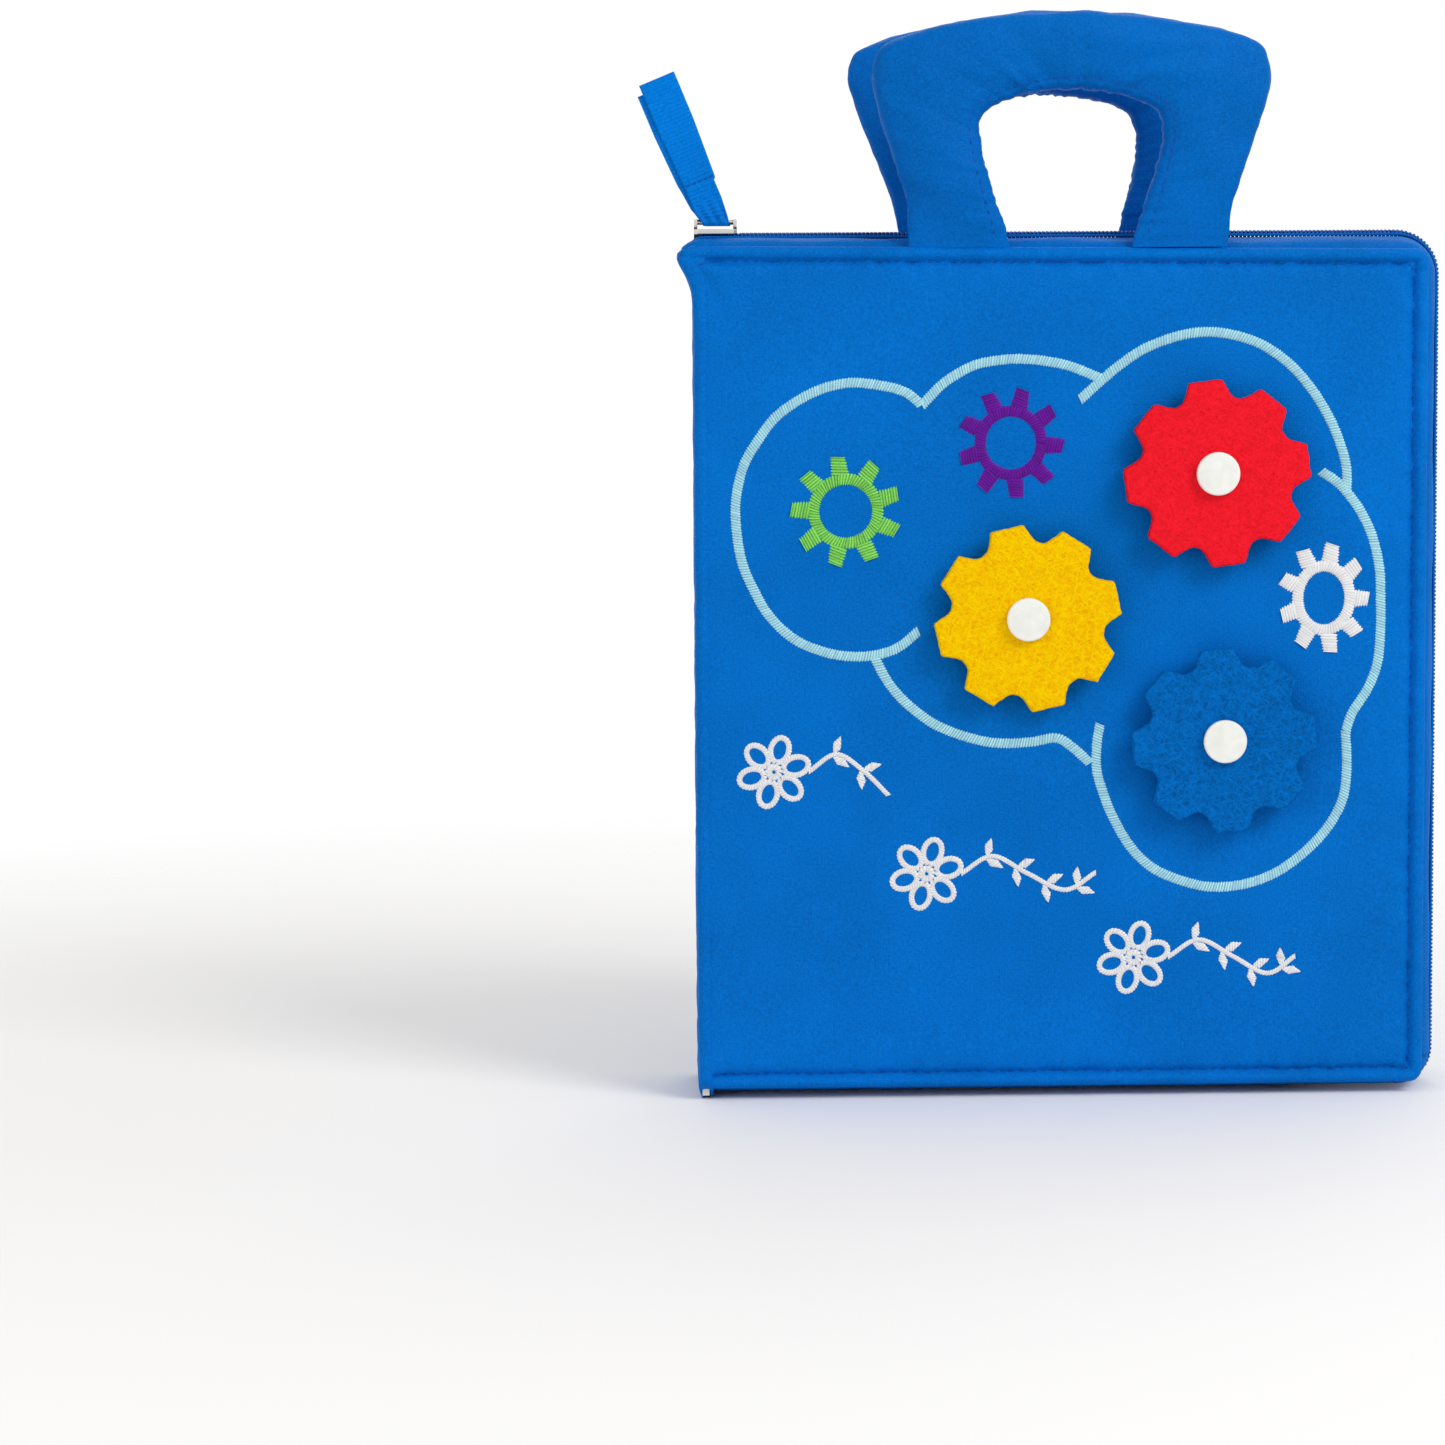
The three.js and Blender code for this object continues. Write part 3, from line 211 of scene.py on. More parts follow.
def weave(material, place, pitch):
    """Threads that cross, on a surface that faces any of the three axes."""
    total = None
    for axis in "XYZ":
        bands = add_node(material, "ShaderNodeTexWave", Scale=math.pi / 10 / pitch, Distortion=0.6)
        bands.bands_direction = axis
        wire(material, place, bands.inputs["Vector"])
        band = bands.outputs["Fac"]
        total = band if total is None else add_math(material, "ADD", total, band)
    return add_math(material, "MULTIPLY", total, 1 / 3)


def mix(material, a, a_share, b, b_share):
    """The sum of two values, each times its share."""
    first = add_math(material, "MULTIPLY", a, a_share)
    return add_math(material, "ADD", first, add_math(material, "MULTIPLY", b, b_share))


def add_sheen(shader, weight, roughness, tint):
    shader.inputs["Sheen Weight"].default_value = weight
    shader.inputs["Sheen Roughness"].default_value = roughness
    shader.inputs["Sheen Tint"].default_value = (*linear(tint), 1)


def shade(colour, share):
    return tuple(min(255, c * share) for c in colour)


def cloth(name, colour, pitch=0.8, roughness=0.62, depth=0.1, cloudy_share=0.32):
    material, shader, place = start_material(name, colour, roughness, 0.04)
    cloudy = add_noise(material, place, 28, 3.0)
    grain = add_noise(material, place, 1500, 2.0, 0.7)
    tone = mix(material, cloudy, cloudy_share, grain, 1 - cloudy_share)
    add_tone(material, shader, tone, shade(colour, 0.87), shade(colour, 1.12))
    threads = mix(material, weave(material, place, pitch * MM), 0.45, grain, 1.5)
    add_bump(material, shader, threads, depth * MM)
    add_sheen(shader, 0.03, 0.45, shade(colour, 1.6))
    return material


cover_cloth = cloth("cover_cloth", (0, 107, 195))
lining_cloth = cloth("lining_cloth", (0, 100, 188), pitch=0.9)
gusset_cloth = cloth("gusset_cloth", (0, 102, 188), pitch=0.9)
handle_cloth = cloth("handle_cloth", (0, 102, 188), roughness=0.5)
page_cloth = cloth("page_cloth", (246, 244, 242), pitch=0.7, roughness=0.5, depth=0.05, cloudy_share=0.25)
ribbon_cloth = cloth("ribbon_cloth", (0, 122, 216), pitch=0.5, roughness=0.42, depth=0.04)
print("cloths:", [m.name for m in bpy.data.materials if m.name.endswith("cloth")])


# %% Felt, thread, plastic, coil and metal finishes
def felt(name, colour, dark_share=0.85, depth=0.7):
    material, shader, place = start_material(name, colour, 0.95, 0.05)
    total = None
    for turn in (0.3, 1.25, 2.3):
        lay = add_node(material, "ShaderNodeMapping", Rotation=(0, turn, 0), Scale=(1, 1, 5))
        lay.vector_type = "TEXTURE"
        wire(material, place, lay.inputs["Vector"])
        hairs = add_noise(material, lay.outputs["Vector"], 1900, 2.0, 0.6)
        total = hairs if total is None else add_math(material, "MAXIMUM", total, hairs)
    hairs = add_math(material, "MULTIPLY", add_math(material, "SUBTRACT", total, 0.34), 2.8)
    fibres = mix(material, add_noise(material, place, 700, 3.0, 0.6), 0.4, hairs, 0.6)
    add_tone(material, shader, fibres, shade(colour, dark_share), shade(colour, 1.2))
    add_bump(material, shader, fibres, depth * MM)
    add_sheen(shader, 0.3, 0.6, shade(colour, 1.2))
    return material


def point_value(material, name):
    """A value that a piece stores on each of its points."""
    node = add_node(material, "ShaderNodeAttribute")
    node.attribute_name = name
    return node.outputs["Fac"]


def thread(name, colour, dark_share=0.66):
    material, shader, place = start_material(name, colour, 0.45, 0.16)
    strands = add_noise(material, place, 3200, 2.0, 0.6)
    # painted shade: the low threads between the ridges of satin stitch are made darker
    painted_shade = add_math(material, "MULTIPLY", point_value(material, "sunk_shade"), 0.4)
    lit = add_math(material, "SUBTRACT", 0.45, painted_shade)
    tone = add_math(material, "ADD", add_math(material, "MULTIPLY", strands, 0.45), lit)
    add_tone(material, shader, tone, shade(colour, dark_share), shade(colour, 1.26))
    add_bump(material, shader, strands, 0.12 * MM)
    shader.inputs["Sheen Weight"].default_value = 0.06
    return material


def moulded(name, colour, roughness=0.34):
    material, shader, place = start_material(name, colour, roughness, 0.5)
    ripple = add_noise(material, place, 260, 2.0)
    add_tone(material, shader, ripple, shade(colour, 0.97), shade(colour, 1.02))
    add_bump(material, shader, ripple, 0.05 * MM, 0.5)
    return material


def nickel(name):
    """Polished metal, with shade painted into its colour: near black where the stored point value says that a
    recess hides it.
    """
    material, shader, place = start_material(name, (206, 203, 198), 0.2, 0.5)
    shader.inputs["Metallic"].default_value = 1
    wear = add_noise(material, place, 700, 3.0)
    rough = add_node(material, "ShaderNodeMapRange", To_Min=0.14, To_Max=0.34)
    wire(material, wear, rough.inputs["Value"])
    wire(material, rough.outputs["Result"], shader.inputs["Roughness"])
    # painted shade: the colour falls to near black in the recesses, by the stored point value
    unshaded = add_node(material, "ShaderNodeMapRange", From_Min=0.05, From_Max=0.6, To_Min=1.0, To_Max=0.0)
    wire(material, point_value(material, "hollow_shade"), unshaded.inputs["Value"])
    worn = add_math(material, "ADD", 0.8, add_math(material, "MULTIPLY", wear, 0.2))
    tone = add_math(material, "MULTIPLY", unshaded.outputs["Result"], worn)
    add_tone(material, shader, tone, (46, 43, 41), (208, 205, 201))
    add_bump(material, shader, wear, 0.02 * MM)
    return material


def coil(name, colour):
    material, shader, place = start_material(name, colour, 0.36, 0.2)
    tone = add_noise(material, place, 500, 2.0)
    add_tone(material, shader, tone, shade(colour, 0.8), shade(colour, 1.25))
    add_bump(material, shader, tone, 0.04 * MM)
    return material


gear_felts = {
    "red": felt("felt_red", (255, 26, 40), 0.9, 0.45),
    "yellow": felt("felt_yellow", (255, 175, 0), 0.95, 0.35),
    "blue": felt("felt_blue", (2, 95, 171)),
}
sky_thread = thread("sky_thread", (154, 214, 255), 0.8)
white_thread = thread("white_thread", (251, 252, 255), 0.86)
green_thread = thread("green_thread", (122, 218, 88))
purple_thread = thread("purple_thread", (98, 0, 148))
blue_thread = thread("blue_thread", (0, 66, 142))
white_plastic = moulded("white_plastic", (240, 240, 234))
blue_coil = coil("blue_coil", (0, 74, 150))
slider_nickel = nickel("slider_nickel")
print("materials so far:", len(bpy.data.materials))


# %% [markdown]
# ## Helpers for cloth pieces
# A cloth piece begins as one of Blender's own grids. Its rows and columns are then moved onto the shape
# of the sewn panel, the way a sewer lays a flat cut over a form: near the edges the rows lie close
# together, so that the puffed border and the stitched groove have enough faces.

# %% Helpers for making and changing pieces
UPRIGHT = (math.pi / 2, 0, 0)


def to_object(name, points, faces, material=None, smooth=True, edges=()):
    """A mesh object from points in millimetres."""
    mesh = bpy.data.meshes.new(name)
    mesh.from_pydata([(x * MM, y * MM, z * MM) for x, y, z in points], edges, faces)
    if material:
        mesh.materials.append(material)
    piece = bpy.data.objects.new(name, mesh)
    scene.collection.objects.link(piece)
    if smooth:
        mesh.shade_smooth()
    return piece


def points_of(piece):
    """A piece's points as an array in millimetres."""
    flat = np.empty(len(piece.data.vertices) * 3)
    piece.data.vertices.foreach_get("co", flat)
    return flat.reshape(-1, 3) / MM


def place_points(piece, points):
    piece.data.vertices.foreach_set("co", (np.asarray(points) * MM).ravel())
    piece.data.update()


def make_active(*pieces):
    """Selects some pieces and makes the first one active."""
    bpy.ops.object.select_all(action="DESELECT")
    for piece in pieces:
        piece.select_set(True)
    bpy.context.view_layer.objects.active = pieces[0]


def join(name, *pieces):
    """Joins pieces into the first one."""
    make_active(*pieces)
    bpy.ops.object.join()
    pieces[0].name = name
    return pieces[0]


def edit(piece, *steps):
    """Runs mesh operators, given as (operator, settings), each on the whole piece."""
    make_active(piece)
    bpy.ops.object.mode_set(mode="EDIT")
    for operator, settings in steps:
        bpy.ops.mesh.select_all(action="SELECT")
        operator(**settings)
    bpy.ops.object.mode_set(mode="OBJECT")


merge, outwards = bpy.ops.mesh.remove_doubles, (bpy.ops.mesh.normals_make_consistent, {"inside": False})


def recalculate(piece):
    """Points the faces of a closed piece outwards."""
    edit(piece, (merge, {"threshold": 0.002 * MM}), outwards)


def extrude(distance):
    """The step that gives a flat piece a thickness along Y, in millimetres."""
    return bpy.ops.mesh.extrude_region_move, {"TRANSFORM_OT_translate": {"value": (0, distance * MM, 0)}}


def apply_modifier(piece, kind, **settings):
    """Adds a modifier to the active piece and applies it."""
    modifier = piece.modifiers.new(kind.lower(), kind)
    for name, value in settings.items():
        setattr(modifier, name, value)
    bpy.ops.object.modifier_apply(modifier=modifier.name)


def round_edges(piece, width, segments, angle=30):
    """Bevels the edges that are sharper than an angle in degrees."""
    apply_modifier(
        piece, "BEVEL", width=width * MM, segments=segments, limit_method="ANGLE", angle_limit=math.radians(angle)
    )


def dress(piece, body, slot, *nodes):
    """Hides the CAD nodes that a piece stands for and hangs it on the body that it rides on. The slot is not
    used.
    """
    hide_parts(*nodes)
    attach(piece, body)
    return piece


print("an extrusion by 3 mm moves by, in metres:", extrude(3)[1]["TRANSFORM_OT_translate"]["value"])


# %% Helpers for tubes and grids
def turn_outwards(piece, towards):
    """Flips the faces of an open cloth if they point away from a direction."""
    total = sum((p.normal * p.area for p in piece.data.polygons), Vector())
    if total.dot(Vector(towards)) < 0:
        piece.data.flip_normals()


def tube_faces(first, rings, sides):
    """Faces of a closed tube, from the index of its first point: its rings, then its two caps."""
    last = first + rings * sides
    faces = []
    for start in range(first, last - sides, sides):
        for k in range(sides):
            j = (k + 1) % sides
            faces.append((start + k, start + j, start + sides + j, start + sides + k))
    return [*faces, tuple(range(first, first + sides)), tuple(range(last - 1, last - 1 - sides, -1))]


def new_grid(name, columns, rows, material):
    """Blender's grid, with columns by rows of points, still flat and a metre wide."""
    bpy.ops.mesh.primitive_grid_add(x_subdivisions=columns - 1, y_subdivisions=rows - 1, size=1)
    grid = bpy.context.object
    grid.name = grid.data.name = name
    grid.data.materials.append(material)
    grid.data.shade_smooth()
    return grid


def grid_index(piece, columns, rows):
    """Column and row numbers of each point of a new grid."""
    flat = points_of(piece) * MM
    return [np.rint((flat[:, k] + 0.5) * (many - 1)).astype(int) for k, many in enumerate((columns, rows))]


def spread(insets, many, extent, start=None):
    """Places of a grid's lines across a panel: close together at both hems and even between them."""
    start = insets if start is None else start
    inner = np.linspace(start[-1], extent - insets[-1], many - 2 * len(insets) + 2)[1:-1]
    return np.concatenate([start, inner, extent - insets[::-1]])


print("a tube of 3 rings of 5 points has", len(tube_faces(0, 3, 5)), "faces")


# %% Helpers for soft forms
def lump(x, y, z):
    """Smooth noise from -1 to 1 at one place."""
    return noise.noise(Vector((x, y, z)))


def wobble(points, size, seed=0.0):
    """Smooth noise at each point, with lumps of a given size in millimetres."""
    return np.array([lump(x / size + seed, y / size - seed, z / size + 2 * seed) for x, y, z in points])


def bell(distance, width):
    """A smooth hump: 1 where the distance is 0, and near 0 beyond twice the width."""
    return np.exp(-((distance / width) ** 2))


def round_corner(across, up, radius):
    """Moves distances from two edges onto a rounded corner: a square is drawn in to a quarter disc."""
    a = np.clip((radius - across) / radius, 0, None)
    b = np.clip((radius - up) / radius, 0, None)
    pull = np.where((a > 0) & (b > 0), np.maximum(a, b) / np.maximum(np.hypot(a, b), 1e-9), 1)
    corner = (across < radius) & (up < radius)
    new_across = np.where(a * pull > 0, radius - a * pull * radius, across)
    new_up = np.where(b * pull > 0, radius - b * pull * radius, up)
    return np.where(corner, new_across, across), np.where(corner, new_up, up)


def round_corners(x, z, width, height, radii):
    """Rounds a panel's four corners, with one radius for each upright side."""
    for right, radius in enumerate(radii):
        for high in (False, True):
            across, up = round_corner(width - x if right else x, height - z if high else z, radius)
            x, z = width - across if right else across, height - up if high else up
    return x, z


def panel_points(piece, columns, rows, edges, left, foot, right, top, radii):
    """Lays a grid over a rounded panel. edges gives a table of (inset, height) for the spine side and
    one for the free sides, from the folded-under hem inwards."""
    ix, iz = grid_index(piece, columns, rows)
    spine_in, spine_up = np.array(edges["spine"]).T
    free_in, free_up = np.array(edges["free"]).T
    width, height = right - left, top - foot
    x, z = spread(free_in, columns, width, spine_in)[ix], spread(free_in, rows, height)[iz]
    other = np.minimum(np.minimum(columns - 1 - ix, iz), rows - 1 - iz)
    ring = np.minimum(ix, other)
    row = np.minimum(ring, len(free_in) - 1)
    x = np.clip(x, spine_in[row], width - free_in[row])
    z = np.clip(z, free_in[row], height - free_in[row])
    x, z = round_corners(x, z, width, height, radii)
    by_spine = np.clip((other - ix) / 6 + 0.5, 0, 1)
    edge_height = by_spine * spine_up[row] + (1 - by_spine) * free_up[row]
    free_inset = np.minimum(np.minimum(width - x, z), height - z)
    return x + left, z + foot, ring, edge_height, free_inset, by_spine


print("a bell 3 mm wide is", round(float(bell(1.5, 3)), 2), "high at 1.5 mm")

# %% [markdown]
# ## Covers
# Each cover is foam between a blue outer cloth and a lining. A line of stitches 4 mm in from the edge
# draws the cloth down, so a narrow roll puffs up outside it and the foam crowns up inside. A cloth
# simulation would lose the groove when it remeshes, so the shape is laid out by its measured profile,
# then small puckers and slack are added where the stitches pull.

# %% Covers
half_thickness, panel_depth = 23.0, 4.5
inner_depth = half_thickness - panel_depth
panel = dict(left=-0.4, foot=3.2, right=208.75, top=245.2)
corner_radii = (1.2, 3.6)
cover_edges = {
    "free": [
        (5.4, 0.5), (3.2, 0.15), (1.2, 0.05), (0.3, 0.35), (0.0, 1.0), (0.12, 1.75), (0.5, 2.45), (1.05, 2.95),
        (1.7, 3.2), (2.4, 3.15), (3.0, 2.85), (3.5, 2.4), (3.95, 1.95), (4.3, 1.75), (4.65, 2.0), (5.1, 2.5),
        (5.7, 2.9), (6.5, 3.2), (7.5, 3.4), (8.7, 3.52), (10.0, 3.62),
    ],
    "spine": [
        (3.0, 0.6), (2.0, 0.3), (1.2, 0.3), (0.5, 0.9), (0.2, 1.7), (0.0, 2.5), (0.0, 3.1), (0.12, 3.5),
        (0.35, 3.75), (0.7, 3.92), (1.1, 4.02), (1.6, 4.1), (2.2, 4.16), (2.9, 4.2), (3.7, 4.24), (4.6, 4.28),
        (5.6, 4.3), (6.7, 4.32), (8.0, 4.34), (9.4, 4.36), (11.0, 4.38),
    ],
}
crown_insets = (0, 10.0, 13.2, 20.4, 30.0, 200)
crown_heights = (3.4, 3.62, 3.8, 4.2, 4.45, 4.5)
groove_inset, roll_inset = 4.3, 2.2
STITCH_PITCH = 3.1


def top_bulge(x, z):
    """How far the cloth bulges towards -X where the zip's end is tucked in at the top of the spine."""
    return 5.0 * bell(z - 244.2, np.where(z < 244.2, 6.8, 4.6)) * bell(x + 2, 9)


def edge_lift(x):
    """The sewn top edge climbs a little towards the spine."""
    return 1.7 * (1 - np.clip(x, 0, 208) / 208)


def make_cover(name, side, seed):
    columns, rows = 181, 209
    piece = new_grid(f"{name}_cloth", columns, rows, cover_cloth)
    x, z, ring, edge_height, inset, by_spine = panel_points(
        piece, columns, rows, cover_edges, radii=corner_radii, **panel
    )
    reach = np.minimum(inset, np.maximum(x - panel["left"], 0) * 3)
    crown = np.interp(reach, crown_insets, crown_heights)
    height = np.where(ring < len(cover_edges["free"]), edge_height, crown)
    flat = np.stack([x, np.zeros_like(x), z], 1)
    sewn = (ring > 3) * (1 - by_spine)
    # the groove is drawn down at every stitch, and short creases fan out from it
    pull = 0.5 + 0.5 * np.cos(2 * math.pi * (x + z) / STITCH_PITCH)
    height = height - 0.55 * pull * sewn * bell(inset - groove_inset, 0.9)
    past = np.clip(inset - groove_inset, 0, None)
    inner = (inset > groove_inset) * sewn
    height = height + 0.25 * wobble(flat, 4.2, seed) * np.exp(-past / 5) * inner
    by_side = panel["right"] - x < np.minimum(z - panel["foot"], panel["top"] - z)
    run = np.stack([np.where(by_side, z + 300, x), 0.28 * inset, np.zeros_like(x)], 1)
    height = height + 0.85 * wobble(run, 3.1, seed + 6) * bell(past, 4.5) * inner
    height = height + 0.8 * wobble(run, 2.9, seed + 4) * sewn * bell(inset - roll_inset, 1.7)
    height = height + 0.5 * wobble(run, 9, seed + 8) * sewn * bell(inset - roll_inset, 2.0)
    # slow slack in the middle, and creases that leave the top corner by the spine
    inside = np.clip((reach - 8) / 20, 0, 1)
    height = height + 0.4 * inside * wobble(flat, 46, seed + 9) - 0.3 * inside
    from_x, from_z = x - 3, z - 240.5
    for turn, size in ((0.62, 1.0), (0.25, 0.8), (1.05, 0.7)):
        away = from_x * math.sin(turn) + from_z * math.cos(turn)
        along = from_x * math.cos(turn) - from_z * math.sin(turn)
        height = height + size * 1.15 * bell(away, 1.3) * bell(along - 6.5, 6) * (ring > 8)
    edge = np.exp(-np.clip(x - panel["left"], 0, None) / 7) * by_spine * (ring > 6)
    height = height + 0.4 * edge * wobble(flat * [0.3, 1, 1], 7.5, seed + 2)
    climb = np.clip((z - 222) / 20, 0, 1)
    z = z + edge_lift(x) * climb * climb * (3 - 2 * climb)
    x = x + 0.3 * wobble(flat * [0, 1, 1], 8, seed + 3) * np.exp(-np.abs(x - panel["left"]) / 2) - top_bulge(x, z)
    place_points(piece, np.stack([x, side * (inner_depth + height), z], 1))
    turn_outwards(piece, (0, side, 0))
    dress(piece, name, "cover_cloth", f"{name}_outer")
    return piece


front_cloth = make_cover("front_cover", -1, 0.3)
back_cloth = make_cover("back_cover", 1, 7.7)
print("points in a cover:", len(front_cloth.data.vertices))


# %% [markdown]
# ## Dropping things onto cloth
# Stitches and embroidery lie on the cloth, whatever its shape. A ray is sent down at each of their
# points, and the point is set where the ray meets the cloth.

# %% Dropping things onto cloth
def surface_of(*pieces):
    points, faces = [], []
    for piece in pieces:
        first = len(points)
        points += [v.co / MM for v in piece.data.vertices]
        faces += [tuple(first + i for i in p.vertices) for p in piece.data.polygons]
    return BVHTree.FromPolygons(points, faces)


def drop(surface, x, z, side, miss=half_thickness):
    """Depth of a surface at (x, z), seen from the front (-1) or the back (1)."""
    hit = surface.ray_cast(Vector((x, side * 60, z)), Vector((0, -side, 0)))
    return hit[0].y if hit[0] is not None else side * miss


def ways_along(line):
    """The unit direction of a line at each of its points."""
    way = np.gradient(line, axis=0)
    return way / np.maximum(np.linalg.norm(way, axis=1, keepdims=True), 1e-9)


def lengths_along(line):
    """The length of a line up to each of its points."""
    gaps = np.diff(line, axis=0)
    steps = np.hypot(*gaps.T) if line.shape[1] == 2 else np.linalg.norm(gaps, axis=1)
    return np.concatenate([[0], np.cumsum(steps)])


def resample(line, pitch):
    """A polyline's points, set at an even pitch."""
    line = np.asarray(line, float)
    length = lengths_along(line)
    count = max(2, int(round(length[-1] / pitch)) + 1)
    marks = np.linspace(0, length[-1], count)
    return np.stack([np.interp(marks, length, line[:, i]) for i in range(line.shape[1])], 1)


def between(a, b, c, d, share):
    """A point between b and c on the Catmull-Rom curve through four points."""
    return 0.5 * (
        2 * b + (c - a) * share + (2 * a - 5 * b + 4 * c - d) * share ** 2
        + (3 * b - a - 3 * c + d) * share ** 3
    )


def smooth_line(line, pitch=0.6, parts=12):
    """A smooth curve through points."""
    line = np.asarray(line, float)
    ends = np.vstack([2 * line[0] - line[1], line, 2 * line[-1] - line[-2]])
    share = np.linspace(0, 1, parts, endpoint=False)[:, None]
    spans = [between(*four, share) for four in zip(ends, ends[1:], ends[2:], ends[3:])]
    return resample(np.vstack([*spans, line[-1:]]), pitch)


def stitch_line(name, body, line, surface, side, pitch, length, width, material, lift):
    """A row of straight stitches: short threads that dive into the cloth at both ends."""
    points, faces = [], []
    rings, sides = ((-0.5, 0.1), (-0.36, 0.85), (0.0, 1.0), (0.36, 0.85), (0.5, 0.1)), 5
    places = resample(line, pitch)
    for here, there in zip(places, places[1:]):
        middle = (here + there) / 2
        way = (there - here) / max(np.linalg.norm(there - here), 1e-9)
        across = np.array([-way[1], way[0]])
        depth = drop(surface, *middle, side)
        faces += tube_faces(len(points), len(rings), sides)
        for share, swell in rings:
            centre = middle + way * share * length
            for turn in range(sides):
                angle = 2 * math.pi * turn / sides
                x, z = centre + across * math.cos(angle) * width / 2 * swell
                rise = math.sin(angle) * width / 2 * swell + lift * swell - 0.1 * (1 - swell)
                points.append((x, depth + side * rise, z))
    piece = to_object(name, points, faces, material)
    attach(piece, body)


def round_bends(line, right, top, foot, radius):
    """Carries a line from the top edge round two rounded corners to the foot edge."""
    bend = [(math.cos(t), math.sin(t)) for t in np.linspace(math.pi / 2, 0, 6)]
    upper = [(right - radius + radius * c, top - radius + radius * s) for c, s in bend]
    return [*line, *upper, *((right - radius + radius * s, foot + radius - radius * c) for c, s in bend)]


front_surface, back_surface = surface_of(front_cloth), surface_of(back_cloth)
groove_top, groove_foot = panel["top"] - groove_inset, panel["foot"] + groove_inset
groove = [(-1.6, groove_top + 0.2), (0.6, groove_top + 1.2), (3, groove_top + edge_lift(3))]
groove = [*round_bends(groove, panel["right"] - groove_inset, groove_top, groove_foot, 1.4), (1.0, groove_foot)]
for name, surface, side in (("front_cover", front_surface, -1), ("back_cover", back_surface, 1)):
    stitch_line(f"{name}_stitches", name, groove, surface, side, STITCH_PITCH, 2.5, 0.42, blue_thread, 0.0)
print("length of one groove:", round(lengths_along(np.array(groove))[-1]), "mm")

# %% [markdown]
# ## Embroidery on the front cover
# The cloud outline is satin stitch: threads laid side by side across the line, 3.4 mm wide. Drawing it
# as a flat stripe would look printed, so the band is built thread by thread, with a ridge for each
# thread and slightly uneven ends. Each small gear is a ring with nine teeth, sewn in the same way.

# %% Satin stitch
rng = np.random.default_rng(7)
SATIN_PITCH = 0.8


def satin(name, body, bands, surface, side, material, rise=0.42):
    """Bands of satin stitch. Each band is (centre line, half widths at its start and end)."""
    points, faces, sunk_shade = [], [], []
    section = [(-1, -0.25), (-0.82, 0.62), (-0.4, 0.95), (0, 1), (0.4, 0.95), (0.82, 0.62), (1, -0.25)]
    wide = len(section)
    for line, (start_half, end_half) in bands:
        places = resample(line, SATIN_PITCH / 2)
        count, way, first = len(places), ways_along(places), len(points)
        across = np.stack([-way[:, 1], way[:, 0]], 1)
        for i in range(count):
            ridge = i % 2
            half = start_half + (end_half - start_half) * i / (count - 1)
            ends = 1 + (rng.uniform(-0.02, 0.1, 2) if ridge else np.array([-0.12, -0.12]))
            # low threads between the ridges get high values, which their thread paints as shade
            sunk_shade += [rng.uniform(0, 0.35) if ridge else rng.uniform(0.75, 1)] * wide
            for share, height in section:
                reach = share * half * (ends[0] if share < 0 else ends[1])
                x, z = places[i] + across[i] * reach + way[i] * (0.5 * SATIN_PITCH * share)
                points.append((x, rise * (height if ridge or height < 0 else height * 0.45), z))
        for a in range(first, first + (count - 1) * wide, wide):
            faces += [(a + j, a + j + 1, a + j + wide + 1, a + j + wide) for j in range(wide - 1)]
    depths = {}
    placed = []
    for x, up, z in points:
        key = (round(x / 0.4), round(z / 0.4))
        if key not in depths:
            depths[key] = drop(surface, x, z, side)
        placed.append((x, depths[key] + side * up, z))
    piece = to_object(name, placed, faces, material)
    turn_outwards(piece, (0, side, 0))
    piece.data.attributes.new("sunk_shade", "FLOAT", "POINT").data.foreach_set("value", sunk_shade)
    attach(piece, body)
    return piece


def ellipse(x, z, across, up, count=48, closed=False):
    turns = np.linspace(0, 2 * math.pi, count, endpoint=closed)
    return [(x + across / 2 * math.cos(t), z + up / 2 * math.sin(t)) for t in turns]


cloud_lobes = [
    [(62.9, 201.3), (58.0, 205.1), (50.3, 207.1), (41.2, 207.7), (31.4, 204.9), (21.7, 198.7), (15.7, 191.1),
     (11.6, 183.7), (9.5, 173.9), (9.8, 164.5), (11.4, 155.9), (14.8, 148.1), (18.5, 141.7), (23.7, 136.2),
     (29.7, 132.4), (38.6, 129.7), (47.8, 129.4), (55.6, 131.6), (61.9, 136.5)],
    [(62.9, 201.3), (69.5, 207.8), (77.5, 212.4), (85.2, 214.0), (91.3, 214.3), (98.1, 213.7), (105.3, 212.2),
     (113.9, 208.7)],
    [(108.2, 202.5), (113.9, 207.6), (119.3, 212.1), (125.9, 216.6), (133.4, 219.7), (140.3, 221.4),
     (147.4, 221.6), (154.6, 220.2), (161.2, 217.6), (168.4, 212.4), (173.9, 206.4), (178.9, 198.9),
     (182.7, 190.8), (185.0, 182.5), (185.1, 175.3)],
    [(177.6, 181.7), (181.9, 178.8), (185.4, 175.3), (189.5, 169.5), (192.7, 162.6), (194.8, 153.6),
     (195.2, 144.4), (195.2, 135.2), (194.4, 126.2), (191.6, 118.7), (187.3, 112.0), (185.3, 106.5)],
    [(185.3, 106.5), (185.7, 96.6), (184.9, 87.9), (182.0, 81.2), (177.7, 75.4), (171.9, 70.0), (165.0, 65.3),
     (156.3, 62.2), (146.7, 61.4), (138.0, 63.3), (129.5, 67.1), (123.1, 73.3), (118.2, 81.5), (115.3, 88.5),
     (113.2, 95.8), (113.2, 103.1), (114.1, 109.2)],
    [(49.2, 128.8), (52.4, 122.7), (56.4, 117.5), (61.6, 112.8), (67.3, 109.0), (75.7, 105.7), (84.3, 103.9),
     (93.9, 104.1), (101.4, 105.2), (106.0, 102.6), (111.2, 97.9)],
]
cloud_bands = [(smooth_line(lobe), (1.5, 1.5)) for lobe in cloud_lobes]
cloud = satin("cloud_outline", "front_cover", cloud_bands, front_surface, -1, sky_thread)


